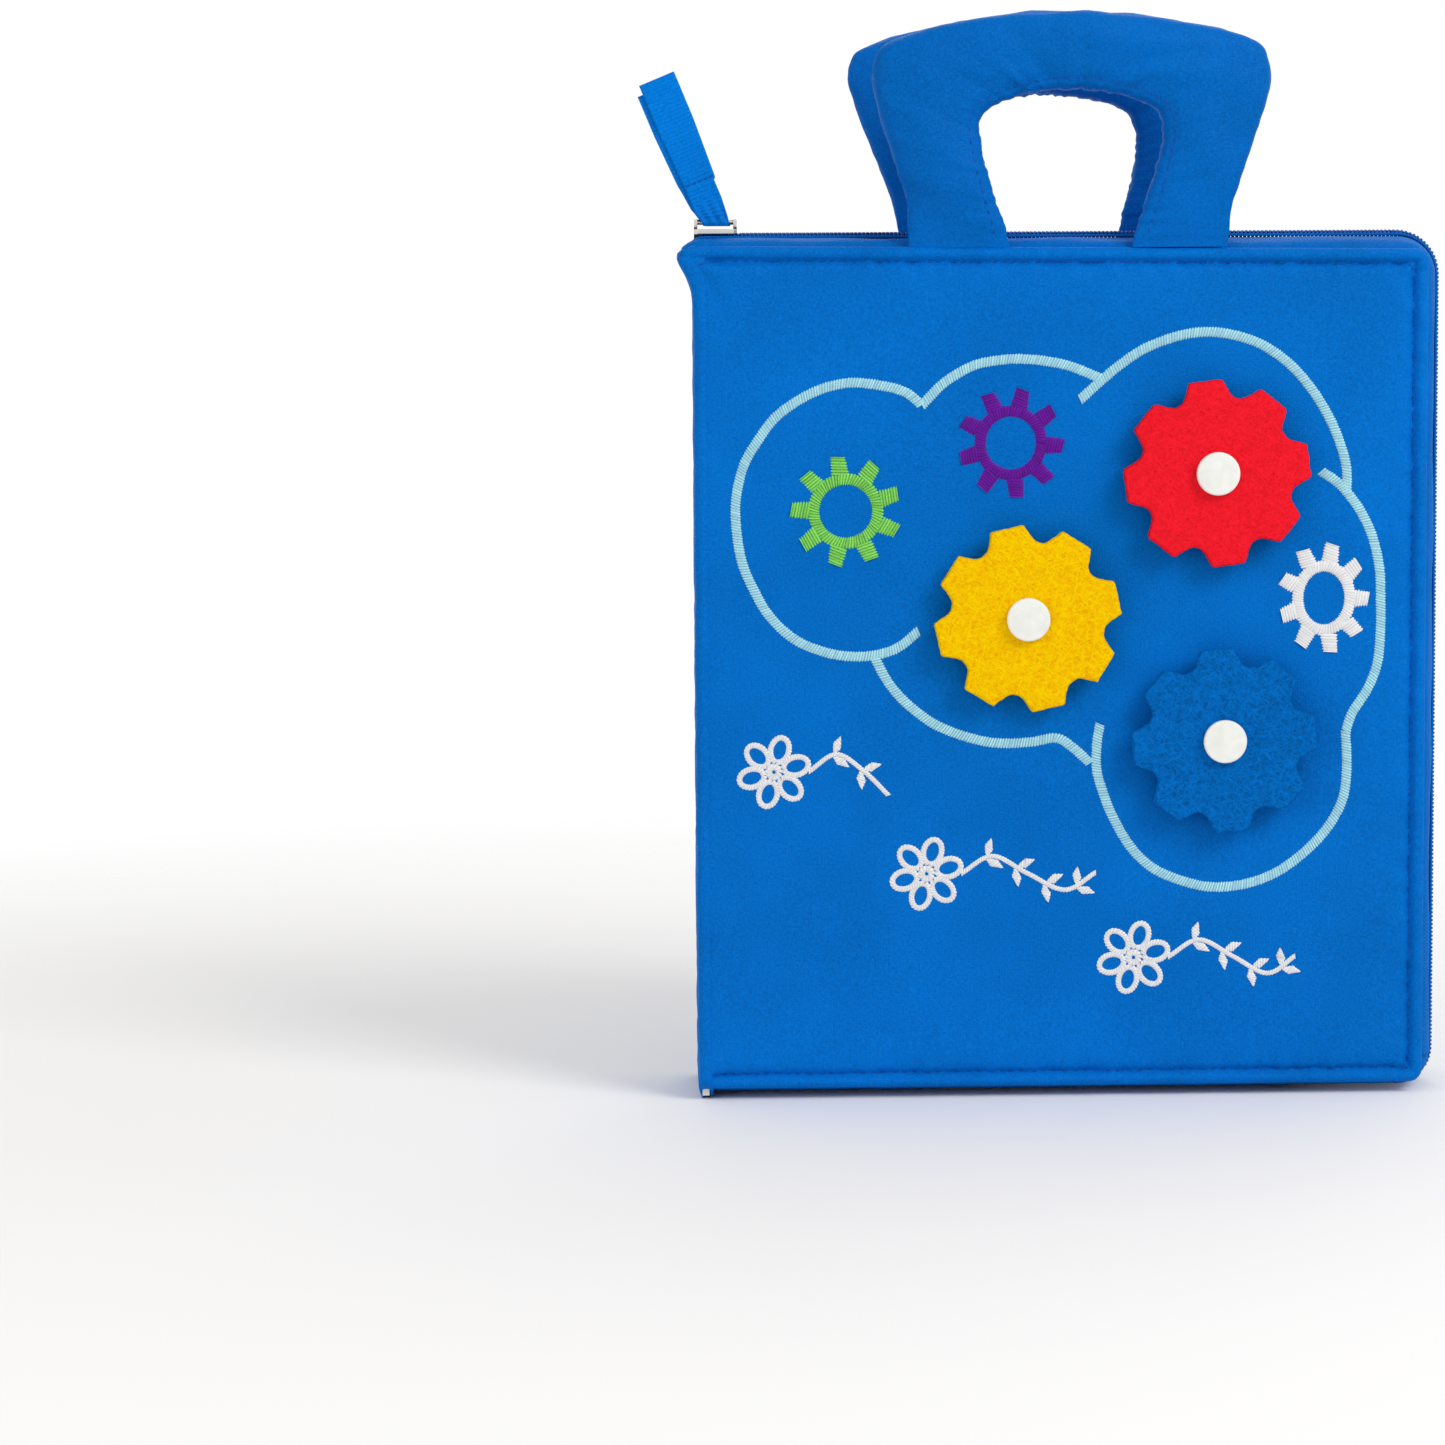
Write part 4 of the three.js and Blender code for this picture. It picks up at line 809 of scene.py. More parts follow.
def small_gear(name, x, z, across, up, material, turn):
    """A sewn gear: nine teeth first, then the ring over their roots."""
    bands = []
    for tooth in range(9):
        angle = math.radians(turn + 40 * tooth)
        way = np.array([math.cos(angle), math.sin(angle)])
        ends = [np.array([x, z]) + way * reach * [across / 2, up / 2] for reach in (0.66, 1.0)]
        bands.append((ends, (2.7, 2.2)))
    bands.append((ellipse(x, z, 0.585 * across, 0.585 * up, 73, closed=True), (1.75, 1.75)))
    satin(name, "front_cover", bands, front_surface, -1, material, rise=0.5)


small_gear("green_sewn_gear", 41.0, 171.1, 31.4, 31.4, green_thread, 18.4)
small_gear("purple_sewn_gear", 88.4, 190.3, 30, 31.2, purple_thread, -3.5)
small_gear("white_sewn_gear", 178.7, 145.1, 25.8, 31.6, white_thread, -1)
print("cloud outline faces:", len(cloud.data.polygons))

# %% [markdown]
# ## White motifs under the cloud
# Three flower and leaf sprigs are sewn in white satin stitch. Stems and petals are narrow bands, and a
# leaf is a band that widens and closes again, as a sewing machine fills it in one pass.

# %% White motifs
def turned(way, angle):
    """A direction turned by an angle."""
    c, s = math.cos(angle), math.sin(angle)
    return np.array([way[0] * c - way[1] * s, way[0] * s + way[1] * c])


def sprig(x, z, size):
    """A flower of six loops: closed satin lines round a small ring."""
    bands = []
    for petal in range(6):
        way = turned((1, 0), math.radians(60 * petal + 15))
        side_way = np.array([-way[1], way[0]])
        loop = [
            np.array([x, z]) + size * (way * (0.3 + 0.36 * (1 - math.cos(t))) + side_way * 0.26 * math.sin(t))
            for t in np.linspace(0, 2 * math.pi, 25)
        ]
        bands.append((loop, (0.9, 0.9)))
    return [*bands, (ellipse(x, z, 0.28 * size, 0.28 * size, 19, closed=True), (1.1, 1.1))]


def vine(points):
    """A trailing stem with small leaves in pairs."""
    line = smooth_line(points)
    bands = [(line, (0.75, 0.75))]
    for i in range(14, len(line) - 8, 16):
        way = line[i + 1] - line[i]
        way /= np.linalg.norm(way)
        for turn in (0.9, -0.9):
            root, middle, tip = (line[i] + turned(way, turn) * reach for reach in (0.8, 3.0, 5.6))
            bands += [([root, middle], (0.5, 1.5)), ([middle, tip], (1.5, 0.3))]
    return bands


motif_bands = [
    *sprig(20, 96, 10), *vine([(30, 96), (38, 101), (46, 96), (53, 89)]),
    *sprig(64, 66, 10), *vine([(74, 66), (83, 71), (93, 66), (104, 61), (113, 66)]),
    *sprig(124, 41, 10), *vine([(134, 41), (143, 46), (153, 41), (163, 36), (171, 41)]),
]
motifs = satin("white_sprigs", "front_cover", motif_bands, front_surface, -1, white_thread, rise=0.45)
print("white motif faces:", len(motifs.data.polygons))

# %% [markdown]
# ## Linings and foam
# Inside, each cover has a plain lining sewn to the hem of its outer cloth, with a strip of the same cloth
# over the spine. The foam shows nowhere, so its CAD solids stay inside the cloth with a plain foam finish.

# %% Linings and foam
def finish_node(name, material):
    """Gives a CAD node the finish of its real material."""
    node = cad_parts[name]
    node.data.materials.clear()
    node.data.materials.append(material)


foam = moulded("foam", (232, 226, 210), 0.9)
for name in ("front_cover_foam", "back_cover_foam", "spine_foam"):
    finish_node(name, foam)


def make_lining(name, side, seed):
    columns, rows, corner_radius = 81, 95, 5.0
    left, right, foot, top = 3.2, panel["right"] - 1.2, 4.4, 244.0
    piece = new_grid(f"{name}_lining_cloth", columns, rows, lining_cloth)
    ix, iz = grid_index(piece, columns, rows)
    x, z = left + (right - left) * ix / (columns - 1), foot + (top - foot) * iz / (rows - 1)
    far, up = right - x, np.minimum(z - foot, top - z)
    corner = (far < corner_radius) & (up < corner_radius)
    far, up = round_corner(far, up, corner_radius)
    x = np.where(corner, right - far, x)
    z = np.where(corner, np.where(z > 120, top - up, foot + up), z)
    rim = np.minimum(np.minimum(x - left, right - x), np.minimum(z - foot, top - z))
    flat = np.stack([x, np.zeros_like(x), z], 1)
    sag = 0.12 * wobble(flat, 30, seed) * np.clip(rim / 20, 0, 1)
    sag += 0.1 * wobble(flat, 5, seed + 3) * np.exp(-rim / 4)
    place_points(piece, np.stack([x, side * (inner_depth + 0.12 + 0.3 * (rim < 0.5) + sag), z], 1))
    turn_outwards(piece, (0, -side, 0))
    dress(piece, name, "lining_cloth", f"{name}_lining")


make_lining("front_cover", -1, 2.1)
make_lining("back_cover", 1, 5.3)
print("lining depth:", inner_depth, "mm from the middle")

# %% [markdown]
# ## Spine
# The spine is a narrow padded strip with a rolled fold along each side, where it meets the covers. It is
# one cloth tube, so one closed outline is carried up the book, with creases where the folds are pressed.

# %% Spine
hinge_depth, spine_half, spine_top, foam_half = 20.75, 2.25, 246.2, 18


def spine_outline():
    """Half of the section, from the middle of the outer face to the middle of the lining: (x, |y|)."""
    outside = [(-2.05 - 0.2 * math.sin(math.pi * t), 17.5 * t) for t in np.linspace(0, 1, 9)]
    turns = np.linspace(math.pi, 0, 15)
    roll = [(spine_half * math.cos(a), hinge_depth + spine_half * math.sin(a)) for a in turns]
    inside = [(2.25, 19.5), (2.2, 18.4), (2.15, 17.6), (2.1, 14), (2.1, 7), (2.1, 0)]
    return outside + roll + inside


def make_spine():
    half = spine_outline()
    section = half + [(x, -y) for x, y in reversed(half[1:-1])]
    levels = 171
    points = []
    for level in range(levels):
        z = spine_top * (level / (levels - 1))
        to_end = min(z, spine_top - z)
        drawn = 1 - 0.45 * max(0, 1 - to_end / 2.8) ** 2
        tucked = 0.85 * max(0, 1 - to_end / 4.5) ** 2
        for x, y in section:
            outer = x < 0
            if abs(y) < foam_half:
                crease = lump(y / 9, z / 5.5, 3.1) * 0.45 + lump(y / 3, z / 2.6, 8.1) * 0.14
            else:
                crease = lump(5.5, z / 7.5, 1 if y > 0 else 2) * 0.4
            shift = crease * (1 if outer else 0.2)
            bulge = float(top_bulge(x, z)) * (0.9 if outer else 0.2)
            past_foam = math.copysign(max(0, abs(y) - foam_half), y)
            lifted = abs(past_foam) * 0.56 * max(0, 1 - z / 14)
            points.append((x * drawn - shift * 0.7 - bulge, y - past_foam * tucked, z + lifted))
    piece = to_object("spine_cloth", points, tube_faces(0, levels, len(section)), cover_cloth)
    recalculate(piece)
    return dress(piece, "spine", "cover_cloth", "spine_outer", "spine_lining")


make_spine()
print("spine height:", spine_top, "mm")

# %% [markdown]
# ## Zip gussets
# A strip of cloth runs round the three open edges, from each cover to the zip. The closed zip draws both
# strips up to a ridge, which lies flatter under the book's foot. Its section is carried round the rim in
# steps of 1.2 mm, so that the small puckers of the seam have room.

# %% The rim and the gussets
rim_radius, fore_ridge, foot_ridge, coil_height = 7.0, 4.9, 1.9, 249.35
tuck_radius, tuck_x = 3.6, 0.6


def arc(x, z, radius, turns, ridges):
    """Places round a bend, each with its way out and its ridge height."""
    ways = [(math.cos(t), math.sin(t)) for t in turns]
    return [(x + radius * c, z + radius * s, c, s, ridge) for (c, s), ridge in zip(ways, ridges)]


def rim_way(top_start, foot_start, step):
    """Points on the panels' edge from the top by the spine round to the foot: place, way out, ridge height."""
    right, top, foot = panel["right"], panel["top"], panel["foot"]
    way = []
    if top_start < 0:
        peak = top + edge_lift(0)
        turns = np.linspace(142, 93, int(5 / step) + 3)
        ridges = (coil_height - peak) * (1 - 0.7 * ((turns - 93) / 49) ** 2)
        way += arc(tuck_x, peak - tuck_radius, tuck_radius, np.radians(turns), ridges)
        top_start = tuck_x
    for x in np.arange(top_start, right - rim_radius, step):
        way.append((x, top + edge_lift(x), 0, 1, coil_height - top - edge_lift(x)))
    turns = max(4, int(rim_radius * math.pi / 2 / step))
    share = np.arange(turns + 1) / turns
    top_ridge = coil_height - top
    ridges = top_ridge + (fore_ridge - top_ridge) * share
    way += arc(right - rim_radius, top - rim_radius, rim_radius, math.pi / 2 * (1 - share), ridges)
    for z in np.arange(top - rim_radius - step, foot + rim_radius, -step):
        way.append((right, z, 1, 0, fore_ridge))
    ridges = fore_ridge - (fore_ridge - foot_ridge) * share ** 2.2
    way += arc(right - rim_radius, foot + rim_radius, rim_radius, -math.pi / 2 * share, ridges)
    for x in [*np.arange(right - rim_radius - step, foot_start, -step), foot_start]:
        way.append((x, foot, 0, -1, foot_ridge))
    return np.array(way)


# each point of the section: depth, height over the panel's edge, share of the ridge's height
gusset_outside = [
    (18.3, -1.6, 0), (18.25, -0.9, 0.0), (17.9, -0.35, 0.01), (17.3, 0.3, 0.03), (16.4, 1.0, 0.08),
    (15.2, 1.45, 0.16), (13.8, 1.7, 0.28), (12.1, 1.82, 0.4), (10.2, 1.86, 0.52), (8.4, 1.82, 0.65),
    (6.9, 1.7, 0.77), (5.7, 1.55, 0.86), (4.7, 1.45, 0.93), (3.9, 1.35, 0.97),
]
gusset_inside = [
    (3.9, 0.6, 0.97), (5.6, 0.6, 0.84), (8.4, 0.9, 0.6), (12.0, 0.9, 0.36), (15.0, 0.6, 0.17), (17.2, -0.8, 0.0),
]
GUSSET_STEP = 1.2


def make_gusset(name, side, seed):
    way = rim_way(-1, 2.6, GUSSET_STEP)
    section = gusset_outside + gusset_inside
    points = []
    for i, (x, z, out_x, out_z, ridge) in enumerate(way):
        along, at_foot = i * GUSSET_STEP, out_z < -0.5
        for k, (depth, rise, share) in enumerate(section):
            height = rise + share * (ridge - foot_ridge)
            if k < len(gusset_outside):
                seam = lump(along / 5.5, depth / 4, seed) * 0.5 * math.exp(-abs(depth - 16.5) / 2.5)
                swell = math.sin(math.pi * min(1, max(0, (17.5 - depth) / 14)))
                slack = lump(along / 19, depth / 8, seed + 5) * 0.6 * swell
                height += (seam + slack) * (0.35 if at_foot else 1) - (0.1 if at_foot else 0)
            px, pz = x + height * out_x, z + height * out_z
            points.append((px - float(top_bulge(px, pz)) * 0.5, side * depth, max(pz, 0.05)))
    piece = to_object(f"{name}_gusset_cloth", points, tube_faces(0, len(way), len(section)), gusset_cloth)
    recalculate(piece)
    dress(piece, f"{name}_cover", "cover_cloth", f"{name}_gusset")
    print(name, "way round the rim:", len(way), "sections")


make_gusset("front", -1, 1.5)
make_gusset("back", 1, 6.5)

# %% [markdown]
# ## Zip coil
# A coil zip is a nylon spiral sewn to each tape. One turn of the spiral is modelled once, as a short bent
# tube with a slant, and set down every 1.16 mm along each row. The two rows are half a pitch apart, so
# their turns interlock down the middle as on the closed zip.

# %% Zip coil and tapes
COIL_PITCH = 1.16
TUBE_SIDES = 5


def bent_tube(form, radius, start):
    """Points round a short bent tube, ring by ring: (across, up, along)."""
    points = []
    for k, (across, up, slant) in enumerate(form):
        before, after = form[max(k - 1, 0)], form[min(k + 1, len(form) - 1)]
        run = Vector((after[0] - before[0], after[1] - before[1])).normalized()
        for turn in range(TUBE_SIDES):
            angle = 2 * math.pi * (turn + start) / TUBE_SIDES
            swell = radius * math.sin(angle)
            points.append((across - run.y * swell, up + run.x * swell, slant + radius * math.cos(angle)))
    return points


coil_form = bent_tube([
    (-0.25, 0.3, 0.42), (0.5, 0.82, 0.28), (1.2, 0.98, 0.05), (1.8, 0.72, -0.18), (2.08, 0.05, -0.34),
    (1.8, -0.55, -0.42),
], 0.48, 0.5)
tape_section = [(0.6, -0.3), (0.6, 0.3), (2.4, 0.45), (4.6, 0.35), (4.6, -0.3)]
coil_end = 4.9


def frames_along(way, pitch, start):
    """Evenly spaced places along the rim, with the way out and the ridge height."""
    length = lengths_along(way[:, :2] + way[:, 2:4] * way[:, 4:])
    marks = np.arange(start, length[-1] - pitch / 2, pitch)
    placed = np.stack([np.interp(marks, length, way[:, k]) for k in range(5)], 1)
    placed[:, 2:4] /= np.hypot(placed[:, 2], placed[:, 3])[:, None]
    return placed


def make_coil(name, side, top_start, first_turn):
    points, faces = [], []
    for x, z, out_x, out_z, ridge in frames_along(rim_way(top_start, coil_end, 0.8), COIL_PITCH, first_turn):
        low = ridge - (0.25 if out_z < -0.5 else 0)
        faces += tube_faces(len(points), len(coil_form) // TUBE_SIDES, TUBE_SIDES)
        for depth, rise, along in coil_form:
            up = low + rise
            level = max(0.0, z + up * out_z - along * out_x)
            points.append((x + up * out_x + along * out_z, side * depth, level))
    # the tape under the coil
    coil_faces = len(faces)
    fine = frames_along(rim_way(-1, coil_end, 0.8), 1.6, 0)
    faces += tube_faces(len(points), len(fine), len(tape_section))
    for x, z, out_x, out_z, ridge in fine:
        for depth, rise in tape_section:
            points.append((x + (ridge + rise) * out_x, side * depth, max(0.02, z + (ridge + rise) * out_z)))
    piece = to_object(f"{name}_coil", points, faces, blue_coil)
    piece.data.materials.append(gusset_cloth)
    for face in piece.data.polygons[coil_faces:]:
        face.material_index = 1
    recalculate(piece)
    dress(piece, f"{name}_cover", "zip_coil", f"{name}_zip_row")
    finish_node(f"{name}_zip_stop", slider_nickel)
    print(name, "row:", len(piece.data.polygons), "faces")


make_coil("front", -1, 11.7, 0.7)
make_coil("back", 1, -1, 4.4 + COIL_PITCH / 2)

# %% [markdown]
# ## Slider and its ribbon
# The slider's solid already has its plates, flanges, wedge and crown. The real one is cast and tumbled, so
# a copy of the solid gets rounded edges. The pull is one grosgrain ribbon, passed under the crown's bar,
# folded double and stitched near the bar. Its ribs are modelled, as they catch the light one by one.

# %% Slider
def paint_hollow_shade(piece, reach=2.5, rays=40):
    """Stores on each point how far it lies in a recess, as the share of short rays that meet the piece again; the
    metal paints this as shade.
    """
    surface = surface_of(piece)
    shares = np.zeros(len(piece.data.vertices))
    turns = np.arange(rays) * math.pi * (3 - math.sqrt(5))
    lifts = (np.arange(rays) + 0.5) / rays
    ways = []
    for a, up in zip(turns, lifts):
        flat = math.sqrt(1 - up * up)
        ways.append(Vector((flat * math.cos(a), flat * math.sin(a), up)))
    for i, vertex in enumerate(piece.data.vertices):
        turn = vertex.normal.to_track_quat("Z", "Y")
        start = vertex.co / MM + vertex.normal * 0.05
        shares[i] = sum(surface.ray_cast(start, turn @ way, reach)[0] is not None for way in ways) / rays
    attribute = piece.data.attributes.new("hollow_shade", "FLOAT", "POINT")
    attribute.data.foreach_set("value", shares)


def rounded_copy(node, name, width, body):
    """A copy of a metal CAD node with small bevels on its sharp edges."""
    piece = bpy.data.objects.new(name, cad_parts[node].data.copy())
    scene.collection.objects.link(piece)
    piece.data.materials.clear()
    piece.data.materials.append(slider_nickel)
    flatten = bpy.ops.mesh.dissolve_limited, {"angle_limit": math.radians(1)}
    edit(piece, (merge, {"threshold": 0.01 * MM}), flatten)
    round_edges(piece, width, 2, 35)
    apply_modifier(piece, "SUBSURF", subdivision_type="SIMPLE", levels=2, render_levels=2)
    bpy.ops.object.shade_smooth_by_angle(angle=math.radians(40))
    # painted shade: the metal is darkened where its own surface closes round a point
    paint_hollow_shade(piece)
    return dress(piece, body, "slider_metal", node)


slider = rounded_copy("zip_slider", "zip_slider_cast", 0.22, "zip_slider")
print("slider faces:", len(slider.data.polygons))

# %% Grosgrain ribbon
RIB_PITCH = 1.12


def ribbon_strip(name, path, widths, to_place, thickness, rib, material, columns=15):
    """A ribbon folded along a path of (sideways, depth, along) in millimetres, as a closed strip."""
    path = np.asarray(path, float)
    way, steps = ways_along(path), lengths_along(path)
    points = []
    for i, (shift, depth, along) in enumerate(path):
        ribs = rib * (0.5 + 0.5 * math.cos(2 * math.pi * steps[i] / RIB_PITCH))
        for face in (1, -1):
            for k in range(columns):
                share = (k / (columns - 1) * 2 - 1) * face
                off = face * (thickness / 2 + (0 if abs(share) > 0.86 else ribs))
                place = shift + share * widths[i] / 2, depth + way[i][2] * off, along - way[i][1] * off
                points.append(to_place(*place))
    piece = to_object(name, points, tube_faces(0, len(path), 2 * columns), material)
    recalculate(piece)
    return piece


bar = (4.5, 0.0, 253.8)
pull_length, fold_at, bar_gap = 44.0, 11.5, 1.4


def main_pull_path():
    """Up the front tail, down round the bar and up the back tail, with a pinch where it is stitched."""
    path, widths = [], []
    for v in np.linspace(pull_length, bar_gap, 240):
        past = v > fold_at
        gap = 0.42 + 0.9 * bell(v - bar_gap, 4) - 0.08 * bell(v - fold_at, 1.2)
        gap += 0.5 * max(0, v - 25) / 19 + 0.22 * math.sin(v / 6)
        path.append((0.35 * past, -gap, v + 0.5 * past))
        widths.append(8.9 + 1.5 * min(1, max(0, (v - fold_at) / 18)) + 0.5 * past)
    for a in np.linspace(-0.15, -math.pi + 0.15, 16):
        path.append((0, -1.25 * math.cos(a), 0.25 + 1.25 * math.sin(a)))
        widths.append(8.6)
    for v in np.linspace(bar_gap, pull_length - 2.2, 240):
        gap = 0.42 + 0.9 * bell(v - bar_gap, 4) + 0.25 * max(0, v - 25) / 19
        path.append((-1.5 * min(1, v / 14), gap, v))
        widths.append(8.9 + 1.5 * min(1, max(0, (v - fold_at) / 18)))
    return path, widths


lean = math.radians(22.5)


def pull_place(sideways, depth, along):
    wave = 0.45 * math.sin(sideways * 2.1 + along * 0.3) * math.exp(-((along - 2) / 5.0) ** 2)
    return (
        bar[0] + sideways * math.cos(lean) - along * math.sin(lean),
        bar[1] + depth + wave,
        bar[2] + along * math.cos(lean) + sideways * math.sin(lean) * min(1, max(0, along / 6)),
    )


pull_ribbon = ribbon_strip("pull_ribbon", *main_pull_path(), pull_place, 0.36, 0.2, ribbon_cloth)
dress(pull_ribbon, "zip_pull", "ribbon_blue", "zip_pull_ribbon")


def pull_stitches():
    """The row of light stitches across the ribbon, front and back."""
    points, faces = [], []
    rings = ((0, 0.14), (0.3, 0.32), (0.7, 0.32), (1, 0.14))
    for face in (-1, 1):
        for start in (-3.9, -2.1, -0.3, 1.5, 3.3):
            faces += tube_faces(len(points), len(rings), TUBE_SIDES)
            for share, swell in rings:
                for turn in range(TUBE_SIDES):
                    a = 2 * math.pi * turn / TUBE_SIDES
                    depth = face * (0.78 + swell * 0.4 * math.cos(a))
                    points.append(pull_place(start + share * 1.3, depth, fold_at + 1.1 + swell * math.sin(a)))
    return to_object("pull_ribbon_stitches", points, faces, blue_thread)


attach(pull_stitches(), "zip_pull")
print("ribbon length flat:", round(2 * pull_length + 4), "mm")

# %% [markdown]
# ## Handles
# A handle is cut as a D in two cloths, sewn round both edges and stuffed from its feet. The padding fills
# the space between the seams, so each cross-section is a plump lens. Rings of points are set between the
# outer and the inner seam, and the surface is puckered at the seams, where the thread gathers the cloth.

# %% Handle curves
outer_seam = [
    (0.79, 0), (0.792, 0.03), (0.8, 0.08), (0.82, 0.2), (0.89, 0.37), (0.955, 0.53), (1.005, 0.7), (0.99, 0.8),
    (0.93, 0.868), (0.72, 0.93), (0.36, 0.985), (0, 1.006),
]
inner_seam = [
    (0.305, 0), (0.315, 0.03), (0.33, 0.08), (0.365, 0.17), (0.41, 0.29), (0.445, 0.4), (0.46, 0.49),
    (0.44, 0.56), (0.37, 0.61), (0.24, 0.645), (0.12, 0.66), (0, 0.665),
]
stuffing = [0.155, 0.22, 0.4, 0.72, 0.95, 1, 1, 1, 1, 1, 1, 1]
handle_width, handle_height, handle_thick = 113.4, 67.0, 13.0
handle_place, handle_depth, handle_foot = 105.9, 19.7, 245.96
handle_stitch_inset = 3.6


def through_both(shares):
    return [*shares, *shares[:-1][::-1]]


def curve_point(places, t):
    """A point on the Catmull-Rom curve through places."""
    places = np.asarray(places, float)
    reach = (len(places) - 1) * t
    i = min(int(reach), len(places) - 2)
    before = places[i - 1] if i else 2 * places[0] - places[1]
    after = places[i + 2] if i + 2 < len(places) else 2 * places[-1] - places[-2]
    return between(before, places[i], places[i + 1], after, reach - i)


def seam_curve(shares, count):
    half = [(x * handle_width / 2, z * handle_height) for x, z in shares]
    places = [*half, *((-x, z) for x, z in half[:-1][::-1])]
    return np.array([curve_point(places, t) for t in np.linspace(0, 1, count)])


def handle_sections(rings, bow=0.0):
    """Each cross-section of a handle: the middle between its seams, half the way across, half its thickness."""
    outer, inner = seam_curve(outer_seam, rings), seam_curve(inner_seam, rings)
    outer[:, 0] -= np.where(outer[:, 0] < 0, bow * bell(outer[:, 1], 20), 0)
    puffs = [(share * handle_thick,) for share in through_both(stuffing)]
    puff = [curve_point(puffs, r / (rings - 1))[0] / 2 for r in range(rings)]
    return (outer + inner) / 2, (inner - outer) / 2, puff


print("a handle's outer seam:", round(lengths_along(seam_curve(outer_seam, 200))[-1]), "mm")


# %% Handles
def closed_handle(name, points, rings, sides, material):
    piece = to_object(name, points, tube_faces(0, rings, sides), material)
    recalculate(piece)
    return piece


def make_handle(name, side, seed, tilt):
    rings, sides = 281, 56
    middles, halves, puffs = handle_sections(rings, bow=1.7)
    steps = lengths_along(middles)
    points = []
    for middle, half, puff, step in zip(middles, halves, puffs, steps):
        reach = np.linalg.norm(half)
        loose = min(1, puff / 4)
        for k in range(sides):
            a = 2 * math.pi * k / sides
            c, s = math.cos(a), math.sin(a)
            swell = math.copysign(abs(s) ** 0.72, s)
            from_inner, from_outer = (1 - c) * reach, (1 + c) * reach
            to_inner, to_outer = math.exp(-from_inner / 6), math.exp(-from_outer / 6)
            across, layer = c * reach, 9 * seed + (20 if s > 0 else 0)
            pucker = lump(step / 2.4, across / 12, layer) * (0.9 * to_inner + 0.3 * to_outer)
            pucker += lump(step / 6.5, across / 14, layer + 2) * 0.95 * to_outer
            dent = lump(step / 12, across / 9, layer + 4) * 1.05
            dent += lump(step / 5, across / 18, layer + 8) * 0.6 * (0.35 + to_inner)
            seam_pull = -0.5 * bell(from_inner, 1.1) - 0.5 * bell(from_outer, 1.1)
            grow = (pucker + dent) * loose + seam_pull * loose * 0.6
            # the stitched line that runs just inside the inner seam
            line = -0.55 * bell(from_inner - handle_stitch_inset, 0.55) * loose
            x, z = middle + half * c * (1 + grow * 0.62 / reach)
            depth = (puff + (grow + line) * min(1, abs(s) * 1.5)) * swell
            points.append((handle_place + x + tilt * z, side * handle_depth + depth, handle_foot + z))
    piece = closed_handle(f"{name}_cloth", points, rings, sides, handle_cloth)
    dress(piece, name, "cover_cloth", f"{name}_cover")
    return piece


def handle_core(name, side, tilt):
    """The foam inside a handle: the same arch, thinner all round and shorter at its feet."""
    sides, left_out = 14, 7
    sections = list(zip(*handle_sections(71)))[left_out:-left_out]
    points = []
    for middle, half, puff in sections:
        for a in (2 * math.pi * k / sides for k in range(sides)):
            x, z = middle + half * math.cos(a) * 0.78
            depth = side * handle_depth + puff * math.sin(a) * 0.74
            points.append((handle_place + x + tilt * z, depth, handle_foot + z))
    piece = closed_handle(f"{name}_foam", points, len(sections), sides, foam)
    dress(piece, name, "padding", f"{name}_core")


def handle_stitches(name, piece, side, tilt):
    """The line of stitches just inside the inner arch, on the face that shows."""
    outer, inner = seam_curve(outer_seam, 400), seam_curve(inner_seam, 400)
    half = (outer - inner) / 2
    line = inner + half / np.linalg.norm(half, axis=1, keepdims=True) * handle_stitch_inset
    line = line[28:-28]
    line = line + [handle_place, handle_foot] + np.stack([tilt * line[:, 1], 0 * line[:, 1]], 1)
    stitch_line(f"{name}_stitches", name, line, surface_of(piece), side, 2.9, 2.2, 0.4, blue_thread, -0.02)


for name, side, seed, tilt in (("front_handle", -1, 1, 0), ("back_handle", 1, 2, -0.1)):
    handle = make_handle(name, side, seed, tilt)
    handle_core(name, side, tilt)
    handle_stitches(name, handle, side, tilt)
    print(name, "points:", len(handle.data.vertices))

# %% [markdown]
# ## Felt gears
# Each gear is cut from 3 mm felt. Felt has no clean surface: its fibres stand out, and cut edges are soft.
# The outline is extruded from a circle of points, remeshed finely, smoothed a little at its edges and
# roughened by noise. The cap is turned in white plastic, with a softly rounded rim.

# %% Felt gears
gear_tooth = [(-0.225, 1), (0.225, 1), (0.365, 0.855), (0.435, 0.822), (0.565, 0.822), (0.635, 0.855)]
gear_places = {
    "red": (146.99, 181.506, 0.271),
    "yellow": (92.806, 140.196, 0.286),
    "blue": (149.311, 104.695, 0.264),
}
GEAR_TEETH, gear_radius, felt_near, felt_far = 8, 26.9, -29.9, -26.7
cap_near, cap_far, cap_radius = -32.2, -30.0, 6.2


def gear_outline(turn):
    """The gear's outline round its centre, with its middle plane at no depth."""
    points = []
    for tooth in range(GEAR_TEETH):
        for along, out in gear_tooth:
            a = turn * 2 * math.pi + 2 * math.pi / GEAR_TEETH * (tooth + along)
            points.append((out * gear_radius * math.cos(a), 0, out * gear_radius * math.sin(a)))
    return points


